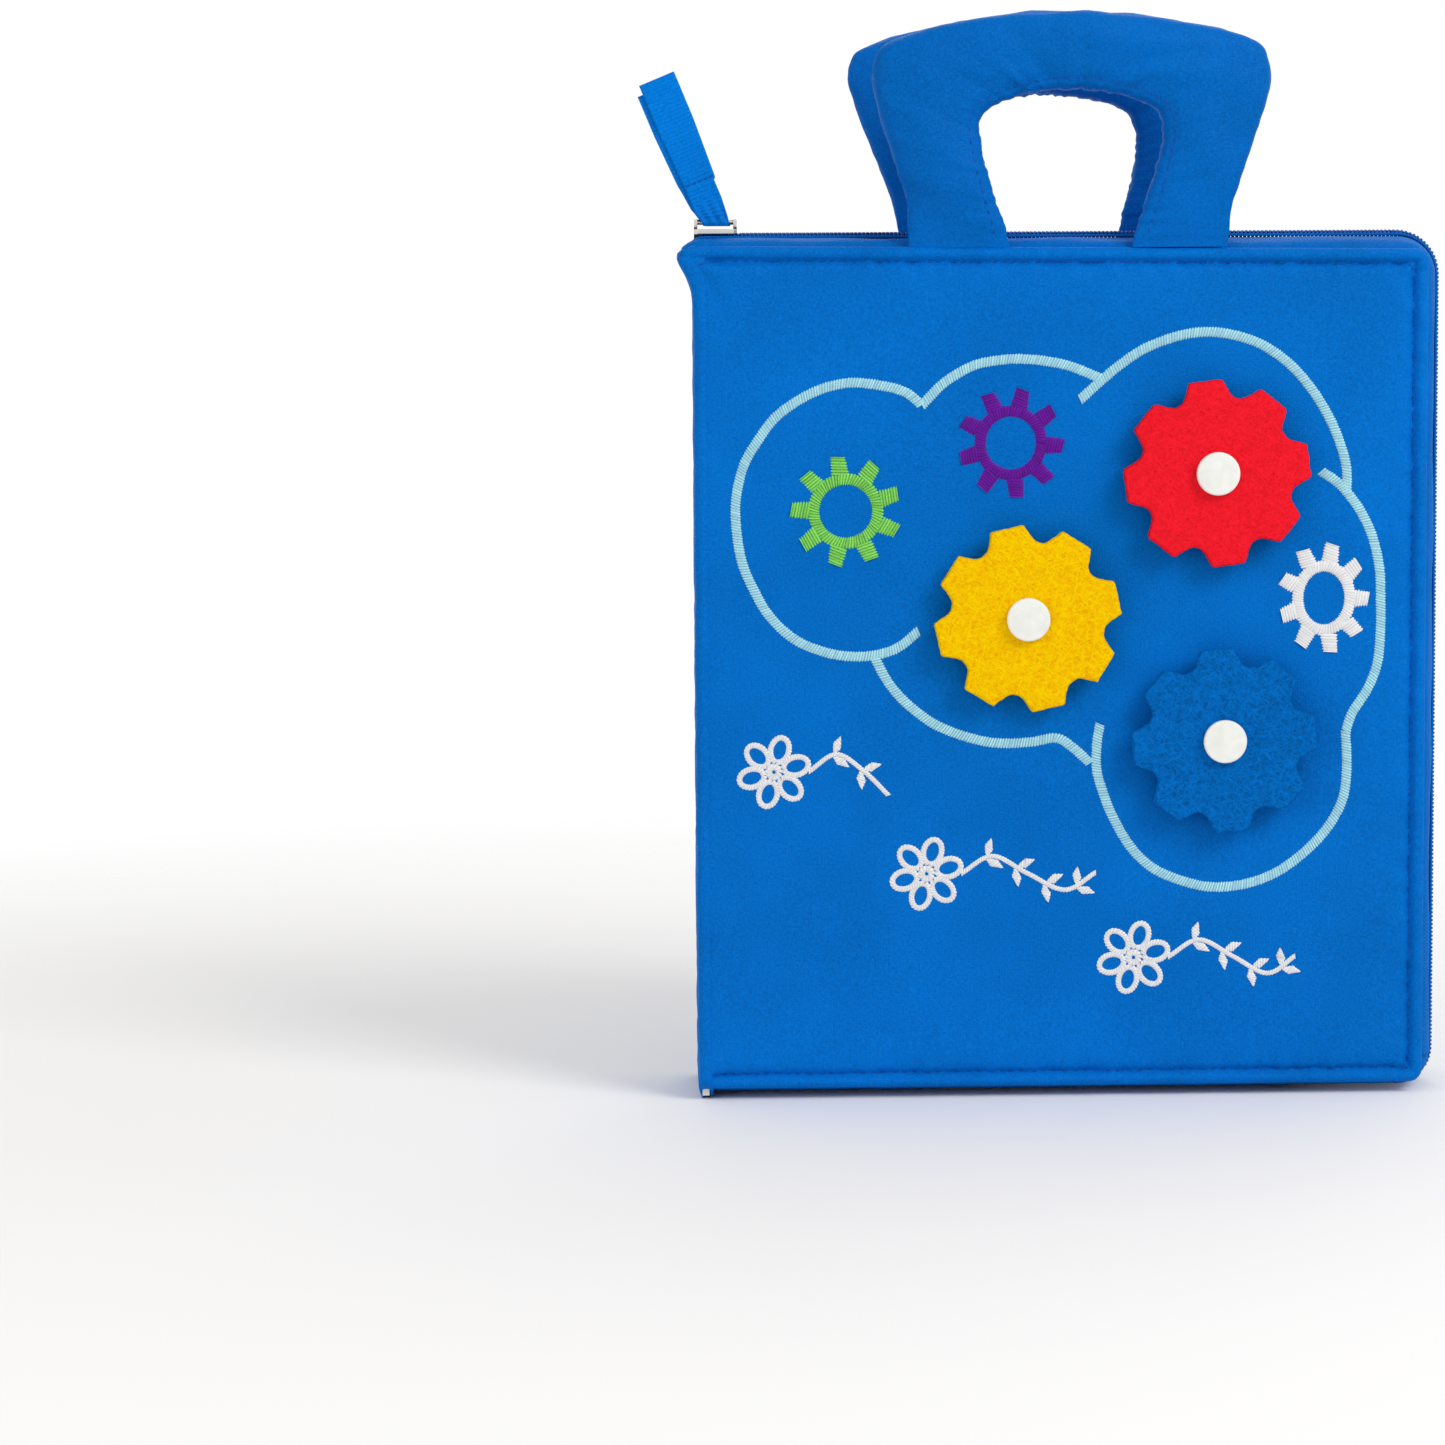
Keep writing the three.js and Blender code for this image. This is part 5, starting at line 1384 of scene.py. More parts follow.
def make_gear(colour, seed):
    x, z, turn = gear_places[colour]
    outline = gear_outline(turn)
    bpy.ops.mesh.primitive_circle_add(vertices=len(outline), radius=1, fill_type="NGON", location=(0, 0, 0))
    piece = bpy.context.object
    piece.name = piece.data.name = f"{colour}_gear_felt"
    place_points(piece, outline)
    edit(piece, extrude(felt_far - felt_near - 0.5), outwards)
    apply_modifier(piece, "REMESH", mode="VOXEL", voxel_size=0.62 * MM)
    apply_modifier(piece, "SMOOTH", factor=0.5, iterations=4)
    normals = np.array([v.normal for v in piece.data.vertices])
    points = points_of(piece)
    sorts = (0.16, 3.4, 0), (0.13, 1.25, 2), (0.1, 0.7, 5)
    lumps = sum(size * wobble(points, pitch, seed + far) for size, pitch, far in sorts)
    place_points(piece, points + normals * (lumps[:, None] + 0.1) + [x, felt_near + 0.25, z])
    piece.data.materials.append(gear_felts[colour])
    piece.data.shade_smooth()
    return dress(piece, f"{colour}_gear", f"felt_{colour}", f"{colour}_gear")


def make_cap(name, x, z):
    """A moulded disc with a rounded rim, facing the front."""
    bpy.ops.mesh.primitive_cylinder_add(
        vertices=64, radius=cap_radius * MM, depth=(cap_far - cap_near) * MM, end_fill_type="NGON",
        location=(x * MM, (cap_far + cap_near) / 2 * MM, z * MM), rotation=UPRIGHT,
    )
    piece = bpy.context.object
    piece.name = piece.data.name = f"{name}_button"
    bpy.ops.object.transform_apply(location=True, rotation=True, scale=True)
    round_edges(piece, 0.6, 4)
    bpy.ops.object.shade_smooth_by_angle(angle=math.radians(50))
    piece.data.materials.append(white_plastic)
    dress(piece, name, "snap_plastic", f"{name}_cap")


for seed, colour in enumerate(gear_places):
    gear = make_gear(colour, 3.0 * seed)
    make_cap(f"{colour}_gear", *gear_places[colour][:2])
    for part in ("stud", "socket"):
        finish_node(f"{colour}_gear_{part}", white_plastic)
    print(colour, "gear points:", len(gear.data.vertices))

# %% [markdown]
# ## Pages
# Each page is two white cloths with thin padding, turned inside out and topstitched 5 mm from the edge.
# Both faces are grids that share their outer row, so the page is one closed cloth. The rows are laid
# close together at the hem, where the stitches pull a small valley.

# %% Pages
leaf_box = dict(left=2.6, right=195.0, foot=12.0, top=236.4)
leaf_middles = {"leaf_1": -10.95, "leaf_2": -6.0, "leaf_3": 5.45, "leaf_4": 16.2}
hem_rows = [
    (0, 0), (0.12, 0.5), (0.4, 0.9), (0.9, 1.15), (1.6, 1.3), (2.6, 1.4), (3.7, 1.42), (4.5, 1.3), (5.0, 1.05),
    (5.4, 0.9), (5.8, 1.05), (6.4, 1.3), (7.4, 1.42), (8.8, 1.47), (10.5, 1.5),
]
page_stitch_inset = 5.4


def page_side(name, middle, side, seed):
    """One of a page's two cloths."""
    columns, rows = 97, 113
    sheet = new_grid(name, columns, rows, page_cloth)
    ix, iz = grid_index(sheet, columns, rows)
    insets, heights = np.array(hem_rows).T
    width, height = leaf_box["right"] - leaf_box["left"], leaf_box["top"] - leaf_box["foot"]
    x, z = spread(insets, columns, width)[ix], spread(insets, rows, height)[iz]
    ring = np.minimum(np.minimum(ix, columns - 1 - ix), np.minimum(iz, rows - 1 - iz))
    rise = np.where(ring < len(insets), heights[np.minimum(ring, len(insets) - 1)], 1.5)
    root = np.clip((14 - ix) / 4, 0, 1) * (ring > 2)
    rise = rise + root * (1.35 - rise)
    x, z = round_corners(x, z, width, height, (1.0, 5.0))
    flat = np.stack([x, np.full_like(x, 3.0 * side), z], 1)
    inset = np.minimum(width - x, np.minimum(z, height - z))
    past = np.clip(inset - page_stitch_inset, 0, None)
    rise = rise + 0.16 * wobble(flat, 3.6, seed) * bell(inset - 3, 2.4) * (ring > 1)
    rise = rise + 0.14 * wobble(flat, 5, seed + 2) * np.exp(-past / 4) * (ring > 9)
    rise = np.where(ring == 0, 0, rise + 0.06 * wobble(flat, 40, seed + 5) * (ring > 14))
    wave = 0.25 * wobble(flat * [1, 0, 1], 60, seed + 9) * np.clip(x / 60, 0, 1)
    place_points(sheet, np.stack([x + leaf_box["left"], middle + wave + side * rise, z + leaf_box["foot"]], 1))
    turn_outwards(sheet, (0, side, 0))
    return sheet


def make_page(name, middle, seed):
    sheets = page_side(f"{name}_cloth", middle, -1, seed), page_side(f"{name}_back", middle, 1, seed)
    page = join(f"{name}_cloth", *sheets)
    recalculate(page)
    dress(page, name, "page_cloth", name)
    return page


hem_left, hem_right = leaf_box["left"] + 5, leaf_box["right"] - page_stitch_inset
hem_foot, hem_top = leaf_box["foot"] + page_stitch_inset, leaf_box["top"] - page_stitch_inset
hem_line = [*round_bends([(hem_left, hem_top)], hem_right, hem_top, hem_foot, 2.2), (hem_left, hem_foot)]
pages, faces_of = {}, {}
for seed, (name, middle) in enumerate(leaf_middles.items()):
    pages[name] = make_page(name, middle, 11.0 * seed)
    faces_of[name] = surface_of(pages[name])
    for side, label in ((-1, "front"), (1, "back")):
        seam = f"{name}_{label}_stitches", name, hem_line, faces_of[name], side
        stitch_line(*seam, 3.0, 2.1, 0.36, white_thread, 0.02)
print("page points:", len(pages["leaf_1"].data.vertices))

# %% [markdown]
# ## Cut cloth shapes
# The pictures on the pages are pieces of cloth or felt, cut out and sewn on. A shape is filled from its
# outline, given its thickness and a small rounding of its cut edge, and edged with satin stitch.

# %% Cut cloth shapes
def closed_smooth(line, pitch=1.0):
    """A smooth closed outline through points."""
    line = [tuple(p) for p in line]
    around = smooth_line([*line[-2:], *line, *line[:2]], 0.25)
    start = int(np.argmin(np.hypot(*(around[: len(around) // 2] - line[0]).T)))
    second = len(around) // 2
    end = second + int(np.argmin(np.hypot(*(around[second:] - line[0]).T)))
    return resample(around[start: end + 1], pitch)[:-1]


def cut_shape(name, outline, near, far, material, holes=(), round_edge=0.15):
    """A flat piece between two depths, cut to an outline of (x, z), with holes."""
    points, edges = [], []
    for loop in (outline, *holes):
        first = len(points)
        points += [(x, near, z) for x, z in loop]
        edges += [(first + i, first + (i + 1) % len(loop)) for i in range(len(loop))]
    piece = to_object(name, points, [], material, smooth=False, edges=edges)
    edit(piece, (bpy.ops.mesh.fill, {}), extrude(far - near), outwards)
    if round_edge:
        round_edges(piece, round_edge, 2, 60)
    bpy.ops.object.shade_smooth_by_angle(angle=math.radians(50))
    return piece


def close_loop(line):
    return np.vstack([line, line[:1]])


round_patch = closed_smooth([(10, 0), (0, 10), (-10, 0), (0, -10)])
print("a round patch of 20 mm has", len(round_patch), "points on its edge")


# %% [markdown]
# ## Page 1: stuffed heart and felt star
# The heart is a soft toy shape, sewn from two plush cloths and stuffed. Its form is a set of rings from
# the seam to the middle, swelling to both sides, with gathers where the seam holds the cloth.

# %% Stuffed shapes
def stuffed_shape(name, outline, centre, middle, thickness, material, seed, gather):
    """A pillow between two depths: an outline that swells to both sides, gathered along its seam."""
    outline, centre = np.asarray(outline, float), np.asarray(centre, float)
    rings, count = 22, len(outline)
    scales = [math.sin(math.pi / 2 * k / rings) for k in range(1, rings + 1)]
    order = [(-1, scale) for scale in scales] + [(1, scale) for scale in scales[-2::-1]]
    reach = np.hypot(*(outline - centre).T)
    along = lengths_along(outline)
    points = []
    for side, scale in order:
        swell = (1 - scale ** 2.4) ** 0.55
        held = gather if scale <= 0.999 else 0
        for place, far, run in zip(outline, reach, along):
            near = math.exp(-(1 - scale) * far / 3.2)
            fold = lump(run / 1.9, (1 - scale) * 2.2, seed + 3 * side)
            soft = lump(place[0] * scale / 9, place[1] * scale / 9, seed + 7 * side)
            height = thickness / 2 * swell * (1 + 0.1 * soft) + held * fold * near
            x, z = centre + (place - centre) * scale * (1 + 0.006 * fold * near)
            points.append((x, middle + side * max(0.0, height), z))
    faces = tube_faces(0, len(order), count)[:-2]
    for first, side in ((0, -1), (len(points) - count, 1)):
        tip = len(points)
        points.append((centre[0], middle + side * thickness / 2, centre[1]))
        faces += [(tip, first + i, first + (i + 1) % count) for i in range(count)]
    piece = to_object(name, points, faces, material)
    recalculate(piece)
    return piece


plush_magenta = felt("plush_magenta", (200, 12, 72), 0.5)
heart_outline = []
for t in np.linspace(0, 2 * math.pi, 140, endpoint=False):
    wave = 0.08 + sum(w * math.cos((n + 1) * t) for n, w in enumerate((0.448, -0.172, -0.069, -0.034)))
    heart_outline.append((31 * math.sin(t) ** 3, 56 * wave))
heart_outline = np.array(heart_outline)
heart_x, heart_foot = 118.04, 6.62
heart_outline += [heart_x, heart_foot - heart_outline[:, 1].min()]
heart = stuffed_shape("heart_plush", heart_outline, (heart_x, 36), -15.475, 5.45, plush_magenta, 2.2, 0.35)
dress(heart, "leaf_1", "plush_magenta", "plush_heart")
print("heart faces:", len(heart.data.polygons))

# %% Felt star
coral_felt = felt("coral_felt", (240, 78, 82), 0.25)
sun_felt = felt("sun_felt", (252, 200, 40), 0.25)
coral_thread = thread("coral_thread", (222, 40, 52))
star_x, star_z, star_far = 102.65, 101.76, -9.15
star_corners = []
for arm in range(5):
    for turn, reach in ((-0.34, 25), (-0.11, 45), (0, 51), (0.11, 45), (0.34, 25), (0.628, 20.5)):
        a = math.pi / 2 + 2 * math.pi / 5 * arm + turn
        star_corners.append((star_x + reach * math.cos(a), star_z + reach * math.sin(a)))
star_outline = closed_smooth(star_corners, 1.0)
star_hole = ellipse(star_x, star_z, 29.6, 29.6)
star = cut_shape("star_felt", star_outline, star_far, -8.45, coral_felt, holes=[star_hole])
dress(star, "leaf_1", "felt_coral", "star_patch")
sun = cut_shape("star_middle", ellipse(star_x, star_z, 29.4, 29.4), star_far, -8.3, sun_felt)
dress(sun, "leaf_1", "felt_yellow", "star_centre")
star_face = surface_of(pages["leaf_1"], star, sun)
edging = [(close_loop(star_outline), (1.1, 1.1)), (close_loop(star_hole), (1.0, 1.0))]
satin("star_edging", "leaf_1", edging, star_face, 1, coral_thread, rise=0.3)
print("star and heart done")

# %% [markdown]
# ## Page 2: the shoe
# The shoe is seen from above: a satin-stitched outline, a tongue printed on the page, and a collar of
# green cloth that is sewn down at the heel and carries two real eyelets for the lace.

# %% Shoe on page 2
shoe_green = cloth("shoe_green", (0, 152, 92), pitch=0.5, roughness=0.55, depth=0.05)
tongue_print = cloth("tongue_print", (66, 168, 98), pitch=0.7, roughness=0.6, depth=0.05)
dark_print = cloth("dark_print", (34, 126, 78), pitch=0.7, roughness=0.6, depth=0.05)
white_print = cloth("white_print", (244, 244, 242), pitch=0.7, roughness=0.6, depth=0.04)
leaf_green_thread = thread("leaf_green_thread", (36, 196, 96))
shoe_x = 114.6
page_2 = faces_of["leaf_2"]
shoe_half = [
    (0, 30.0), (17, 31.6), (28.5, 37.5), (36.5, 50), (40.5, 72), (40.2, 97), (38.4, 117), (38.2, 132), (41, 147),
    (45.2, 167), (44, 187), (36.5, 202), (23, 212.5), (8, 217.4),
]
shoe_corners = [(shoe_x + x, z) for x, z in shoe_half] + [(shoe_x - x, z) for x, z in shoe_half[:0:-1]]
shoe_edge = closed_smooth(shoe_corners, 0.8)
satin("shoe_outline", "leaf_2", [(close_loop(shoe_edge), (1.5, 1.5))], page_2, 1, leaf_green_thread, rise=0.5)


def lay_print(name, outline, material, lift, holes=()):
    """A printed area of page 2: a very thin skin on the page."""
    face = np.mean([drop(page_2, x, z, 1, 0) for x, z in outline])
    piece = cut_shape(name, outline, face + lift - 0.12, face + lift + 0.06, material, holes=holes, round_edge=0)
    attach(piece, "leaf_2")


shoe_widths, shoe_levels = zip(*shoe_half)
band = []
for side, levels in ((1, np.linspace(112, 153, 16)), (-1, np.linspace(153, 112, 16))):
    band += [(shoe_x + side * (np.interp(z, shoe_levels, shoe_widths) - 4.2), z) for z in levels]
lay_print("tongue_band", band, tongue_print, 0.1)
tongue_half = [(3, 90.5), (9, 96), (19, 121), (12, 124), (9, 150)]
tongue = [*((-x, z) for x, z in tongue_half[2::-1]), *tongue_half, *((-x, z) for x, z in tongue_half[:2:-1])]
lay_print("tongue_dark", [(shoe_x + x, z) for x, z in tongue], dark_print, 0.24)
for k, (x, z) in enumerate(((-15.2, 130.5), (15.2, 130.5), (-14.4, 143.5), (14.4, 143.5))):
    hole = ellipse(shoe_x + x, z, 5.6, 4.4)
    lay_print(f"printed_eyelet_{k + 1}", ellipse(shoe_x + x, z, 9, 7.6), white_print, 0.4, holes=[hole])
crossings = [([(shoe_x - x, 131), (shoe_x + x, 143)], (0.75, 0.75)) for x in (14, -14)]
satin("printed_laces", "leaf_2", crossings, page_2, 1, white_print, rise=0.6)

collar_half = [(0, 36.0), (14, 36.6), (25, 41), (32, 51), (35.4, 66), (36.6, 90), (36.2, 112), (35.9, 133.4)]
turns = np.linspace(math.radians(65), math.radians(-245), 46)
opening = [(19.3 * math.cos(t), 70.4 + 27.3 * math.sin(t)) for t in turns]
around = [(-x, z) for x, z in collar_half[::-1]] + collar_half[1:]
outer_line = [(x, z) for x, z in resample(smooth_line(around, 0.8), 1.2)]
collar_outline = [*outer_line, (10.1, 124.0), (7.4, 103.3), *opening, (-7.4, 103.3), (-10.1, 124.0)]
collar_outline = [(shoe_x + x, z) for x, z in collar_outline]
eyelet_spots = [(shoe_x - 15.18, 105.2), (shoe_x + 15.18, 105.2)]
eyelet_holes = [ellipse(x, z, 6.4, 6.4, 28) for x, z in eyelet_spots]
collar = cut_shape("collar_cloth", collar_outline, -4.2, -3.4, shoe_green, holes=eyelet_holes)
dress(collar, "leaf_2", "shoe_green", "shoe_collar")
inner_row = [(shoe_x + x * 0.925, 71 + (z - 71) * 0.93) for x, z in outer_line]
mint_thread = thread("mint_thread", (110, 220, 160))
collar_face = surface_of(pages["leaf_2"], collar)
stitch_line("collar_stitches", "leaf_2", inner_row, collar_face, 1, 2.6, 1.9, 0.34, mint_thread, 0.05)
eyelet_depth = -3.1
for node, (x, z) in zip(("shoe_eyelet_1", "shoe_eyelet_2"), eyelet_spots):
    bpy.ops.mesh.primitive_torus_add(
        major_radius=3.6 * MM, minor_radius=1.0 * MM, major_segments=48, minor_segments=12,
        location=(x * MM, eyelet_depth * MM, z * MM), rotation=UPRIGHT,
    )
    ring = bpy.context.object
    ring.name = ring.data.name = node.replace("shoe", "worked")
    bpy.ops.object.transform_apply(location=True, rotation=True, scale=True)
    points = points_of(ring)
    points[:, 1] = eyelet_depth + (points[:, 1] - eyelet_depth) * 0.55
    place_points(ring, points)
    ring.data.shade_smooth()
    ring.data.materials.append(white_thread)
    dress(ring, "leaf_2", "lace_white", node)
print("shoe outline length:", round(len(shoe_edge) * 0.8), "mm")

# %% [markdown]
# ## The lace
# A round braided lace, tied in a bow. Each length is a tube along its own curve; the braid is a fine
# double spiral on its surface.

# %% Lace
lace_cotton = thread("lace_cotton", (240, 240, 238))
knot_x, knot_z, lace_depth = 114.6, 115.54, -1.05


def braided(name, path, radius):
    """A braided tube along a 3-D path, with rounded ends: the piece, its middle line and its length."""
    sides, step = 12, 0.42
    line = smooth_line(path, step, 16)
    points = []
    for i, (place, run) in enumerate(zip(line, ways_along(line))):
        out = np.cross(run, (0, 1, 0))
        out /= max(np.linalg.norm(out), 1e-9)
        up = np.cross(out, run)
        end = min(i, len(line) - 1 - i) * step
        taper = math.sqrt(max(0.02, 1 - max(0, 1 - end / radius) ** 2))
        for k in range(sides):
            a = 2 * math.pi * k / sides
            braid = 0.07 * math.cos(3 * a + i * step * 3.1) + 0.07 * math.cos(3 * a - i * step * 3.1)
            points.append(place + (out * math.cos(a) + up * math.sin(a)) * (radius + braid - 0.05) * taper)
    piece = to_object(name, points, tube_faces(0, len(line), sides), lace_cotton)
    recalculate(piece)
    return piece, line, float(lengths_along(line)[-1])


lace_strands = {
    "lace_bow_right": [
        (15.2, -10.3, -0.6), (10.4, -7.4, 0), (4.2, -3.0, 0), (6.5, -1.6, 0.2), (16, -5.4, 0), (27, -8, 0),
        (38, -8.6, 0), (44, -4.6, 0), (43, 1.2, 0), (34, 3.6, 0), (20, 2.4, 0.1), (4.6, 1.4, 0.2),
    ],
    "lace_bow_left": [
        (-15.2, -10.3, -0.6), (-10.4, -7.6, 0), (-4.4, -2.4, 0), (-4.0, 2.6, 0.2), (-10, 13, 0), (-19, 21, 0),
        (-27, 27, 0), (-34, 26, 0), (-35, 19, 0), (-28, 12.6, 0), (-17, 7.6, 0), (-4.6, 2, 0.2),
    ],
    "lace_tail_right": [(1.5, 2.0, 0.3), (8, 6, 0), (15, 9, 0), (25, 12.6, 0), (36, 14.6, 0), (46, 14, 0)],
    "lace_tail_left": [
        (-2.2, 0.2, 0.3), (-9, -1.4, 0), (-16, -1.8, 0), (-24, -1, 0), (-31, -2.6, 0), (-34, -3.4, 0),
    ],
}
knot_turns = [
    [
        (-4.6, -3.4, 0.2), (-5.2, 0.5, 1.2), (-2.4, 4.6, 1.9), (1.6, 4.4, 2.1), (3.6, 0.5, 2.3),
        (2.2, -4.4, 1.4), (-0.5, -5.2, 0.3),
    ],
    [(4.6, -2.6, 0.2), (5.4, 1.2, 1.0), (3.4, 4.8, 1.0), (-0.5, 2.2, 2.4), (-3.6, -1.4, 2.3), (-4.4, -4.2, 1.1)],
]


def lace_path(turns, wide=1.0, deep=1.0, tall=1.0):
    """A strand's points from (sideways, up, rise) round the knot."""
    return [(knot_x + x * wide, lace_depth + rise * deep, knot_z + z * tall) for x, z, rise in turns]


paths = {name: lace_path(strand) for name, strand in lace_strands.items()}
strands = {name: braided(name, path, 1.25) for name, path in paths.items()}
knot_paths = [lace_path(turns, 0.95, 0.72, 0.9) for turns in knot_turns]
lace_knot = join("lace_knot", *(braided(f"knot_{k}", path, 1.35)[0] for k, path in enumerate(knot_paths)))
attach(lace_knot, "leaf_2")
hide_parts("shoe_lace")
for name, (piece, line, length) in strands.items():
    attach(piece, "leaf_2")
    print(name, round(length), "mm")

# %% [markdown]
# ## Page 3: the coat
# The coat is cut from red cloth, with a slit down its front where the zip lies on white tape. Its edge is
# bound with satin stitch and a line of white stitches, and small white drops are printed all over it.

# %% Coat on page 3
coat_red = cloth("coat_red", (240, 42, 52), pitch=0.55, roughness=0.6, depth=0.05)
binding_thread = thread("binding_thread", (236, 66, 40))
coat_x, coat_foot, coat_width, coat_height = 92.6, 52.0, 76.0, 168.0
coat_shares = [
    (0.2, 1), (0.55, 0.965), (0.74, 0.9), (0.78, 0.72), (0.46, 0.76), (0.42, 0.66), (0.66, 0.32), (0.97, 0.05),
    (1, 0.015), (0.5, 0),
]
coat_half = np.array([(x * coat_width, coat_foot + z * coat_height) for x, z in coat_shares])
slit_half, slit_foot = 2.45, 128.0
coat_lines = [coat_half[:3], coat_half[4:8], coat_half[7:9], [*coat_half[8:], (0, 51.2)]]
sleeve, side_seam, hem_corner, hem = (smooth_line(line, 1.5) for line in coat_lines)
coat_side = np.vstack([sleeve, coat_half[3:4], side_seam, hem_corner[1:], hem[1:]])
coat_round = [(1.3, slit_foot), (slit_half, slit_foot + 1.2), (slit_half, 220.0), *coat_side]
coat_outline = [(coat_x + x, z) for x, z in coat_round]
coat_outline += [(coat_x - x, z) for x, z in coat_round[::-1][1:]]
coat = cut_shape("coat_cloth", coat_outline, 2.85, 3.65, coat_red)
dress(coat, "leaf_3", "coat_red", "coat_patch")
coat_face = surface_of(pages["leaf_3"], coat)
coat_edges = {side: coat_side * [side, 1] + [coat_x, 0] for side in (1, -1)}
binding = [(edge, (1.25, 1.25)) for edge in coat_edges.values()]
satin("coat_binding", "leaf_3", binding, coat_face, -1, binding_thread, rise=0.32)


def inner_line(edge, inset, side):
    way = ways_along(edge)
    moved = edge + side * np.stack([way[:, 1], -way[:, 0]], 1) * inset
    for _ in range(6):
        moved[1:-1] = (moved[:-2] + 2 * moved[1:-1] + moved[2:]) / 4
    return moved


for side, label in ((1, "right"), (-1, "left")):
    seam = f"coat_seam_{label}", "leaf_3", inner_line(coat_edges[side], 3.4, side), coat_face, -1
    stitch_line(*seam, 2.2, 1.7, 0.3, white_thread, 0.04)


def inside(x, z, outline):
    hit = False
    for (ax, az), (bx, bz) in zip(outline, [*outline[1:], outline[0]]):
        if (az > z) != (bz > z) and x < ax + (z - az) / (bz - az) * (bx - ax):
            hit = not hit
    return hit


drop_half = [(0.35, 1.2), (0.95, 0.1), (1.15, -0.9), (0.75, -1.75)]
drop_form = [(0.0, 2.6), *drop_half, (0, -2.05), *((-x, z) for x, z in drop_half[::-1])]
points, faces = [], []
for row, z in enumerate(np.arange(60, 216, 12.5)):
    for x in np.arange(coat_x - 72 + (row % 2) * 9, coat_x + 73, 18):
        x, up = x + rng.uniform(-2.2, 2.2), z + rng.uniform(-1.8, 1.8)
        clear = all(inside(x + a, up + b, coat_outline) for a in (-5.5, 5.5) for b in (-6, 6))
        if not clear or (abs(x - coat_x) < 6 and up > 122):
            continue
        turn = rng.uniform(-0.25, 0.25)
        form = [turned(corner, turn) + [x, up] for corner in drop_form]
        first, many = len(points), len(form)
        faces += [tuple(range(first + many, first + 2 * many)), *tube_faces(first, 2, many)[:many]]
        points += [(a, depth, b) for depth in (2.87, 2.77) for a, b in form]
drops = to_object("coat_drops", points, faces, white_print, smooth=False)
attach(drops, "leaf_3")
print("drops on the coat:", len(points) // (2 * len(drop_form)))

# %% Zip on the coat
zip_white = moulded("zip_white", (240, 240, 236), 0.3)
tape_outline = [(coat_x + x, z) for x, z in ((-5, 124.5), (5, 124.5), (5, 219.6), (-5, 219.6))]
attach(cut_shape("coat_tape", tape_outline, 3.66, 3.92, page_cloth), "leaf_3")
arch = [(0.25, 1.15, 0.4), (0.45, 0.1, 0.24), (0.9, -0.28, 0.0), (1.55, -0.05, -0.12), (1.75, 1.15, -0.2)]
arch_form = bent_tube(arch, 0.32, 0.25)
points, faces = [], []
for side in (-1, 1):
    for k in range(76):
        z = 128.9 + k * 1.2 + (0.6 if side > 0 else 0)
        faces += tube_faces(len(points), len(arch), TUBE_SIDES)
        points += [(coat_x + side * (across - 0.62), 2.35 + up, z + along) for across, up, along in arch_form]
stop_corners = [(1.8, 127.6), (3.0, 127.6), (3.0, 129.0), (1.8, 129.0)]
faces += tube_faces(len(points), 2, 4)
points += [(coat_x + x, y, z) for x in (-1.5, 1.5) for y, z in stop_corners]
coat_rows = to_object("coat_coil", points, faces, zip_white)
recalculate(coat_rows)
dress(coat_rows, "leaf_3", "zip_white", "coat_zip")
rounded_copy("coat_zip_slider", "coat_slider_cast", 0.16, "coat_slider")

ribbon_red = cloth("ribbon_red", (236, 26, 44), pitch=0.4, roughness=0.5, depth=0.03)
coat_slider_z, tail_length, tail_in, tail_out, bow_half = 215.1, 44.0, 2.45, 8.65, 3.1


def flat_ribbon(first, corners, depth, ribs_along_z):
    """Points and faces of a ribbed four-cornered length of ribbon; corners run round from its lower left."""
    a, b, c, d = (np.array(corner, float) for corner in corners)
    rows, columns = int(max(np.linalg.norm(d - a), np.linalg.norm(c - b)) / 0.28), 6
    points, faces = [], []
    for face in (1, -1):
        for v in np.arange(rows + 1) / rows:
            for k in range(columns + 1):
                u = k / columns
                x, z = (a * (1 - u) + b * u) * (1 - v) + (d * (1 - u) + c * u) * v
                along = z if ribs_along_z else x
                ribs = 0 if k in (0, columns) else 0.07 * (0.5 + 0.5 * math.cos(2 * math.pi * along / RIB_PITCH))
                points.append((x, depth + face * (0.1 + ribs), z))
    wide = columns + 1
    back = first + (rows + 1) * wide
    for i in range(rows):
        for k in range(columns):
            p = i * wide + k
            faces.append((first + p, first + p + 1, first + p + wide + 1, first + p + wide))
            faces.append((back + p, back + p + wide, back + p + wide + 1, back + p + 1))
    rim = [*range(wide), *(i * wide + columns for i in range(1, rows + 1))]
    rim += [*(rows * wide + k for k in range(columns - 1, -1, -1)), *(i * wide for i in range(rows - 1, 0, -1))]
    faces += [(first + p, first + q, back + q, back + p) for p, q in zip(rim, [*rim[1:], rim[0]])]
    return points, faces


tail_foot = coat_slider_z - tail_length
tail = [
    (tail_in, tail_foot), (tail_out, tail_foot + bow_half), (tail_out, coat_slider_z - bow_half),
    (tail_in, coat_slider_z + bow_half),
]
low, high = coat_slider_z - bow_half, coat_slider_z + bow_half
cross = [(-tail_out, low), (-tail_in, high), (tail_in, high), (tail_out, low)]
points, faces = [], []
for corners, *form in (([(-x, z) for x, z in tail], 0.55, True), (tail, 0.55, True), (cross, 0.78, False)):
    more_points, more_faces = flat_ribbon(len(points), [(coat_x + x, z) for x, z in corners], *form)
    points += more_points
    faces += more_faces
coat_ribbon = to_object("coat_ribbon", points, faces, ribbon_red)
recalculate(coat_ribbon)
dress(coat_ribbon, "coat_slider", "ribbon_red", "coat_pull_ribbon")
print("coat's ribbon:", len(coat_ribbon.data.polygons), "faces")

# %% [markdown]
# ## Page 4: balloons
# Each balloon is sewn from two ovals and stuffed, so its seam draws in and puckers. A cloth tab at its
# neck carries half of a snap, and the other half is set in the page. The strings are satin stitch, and
# they run together into a small bow.

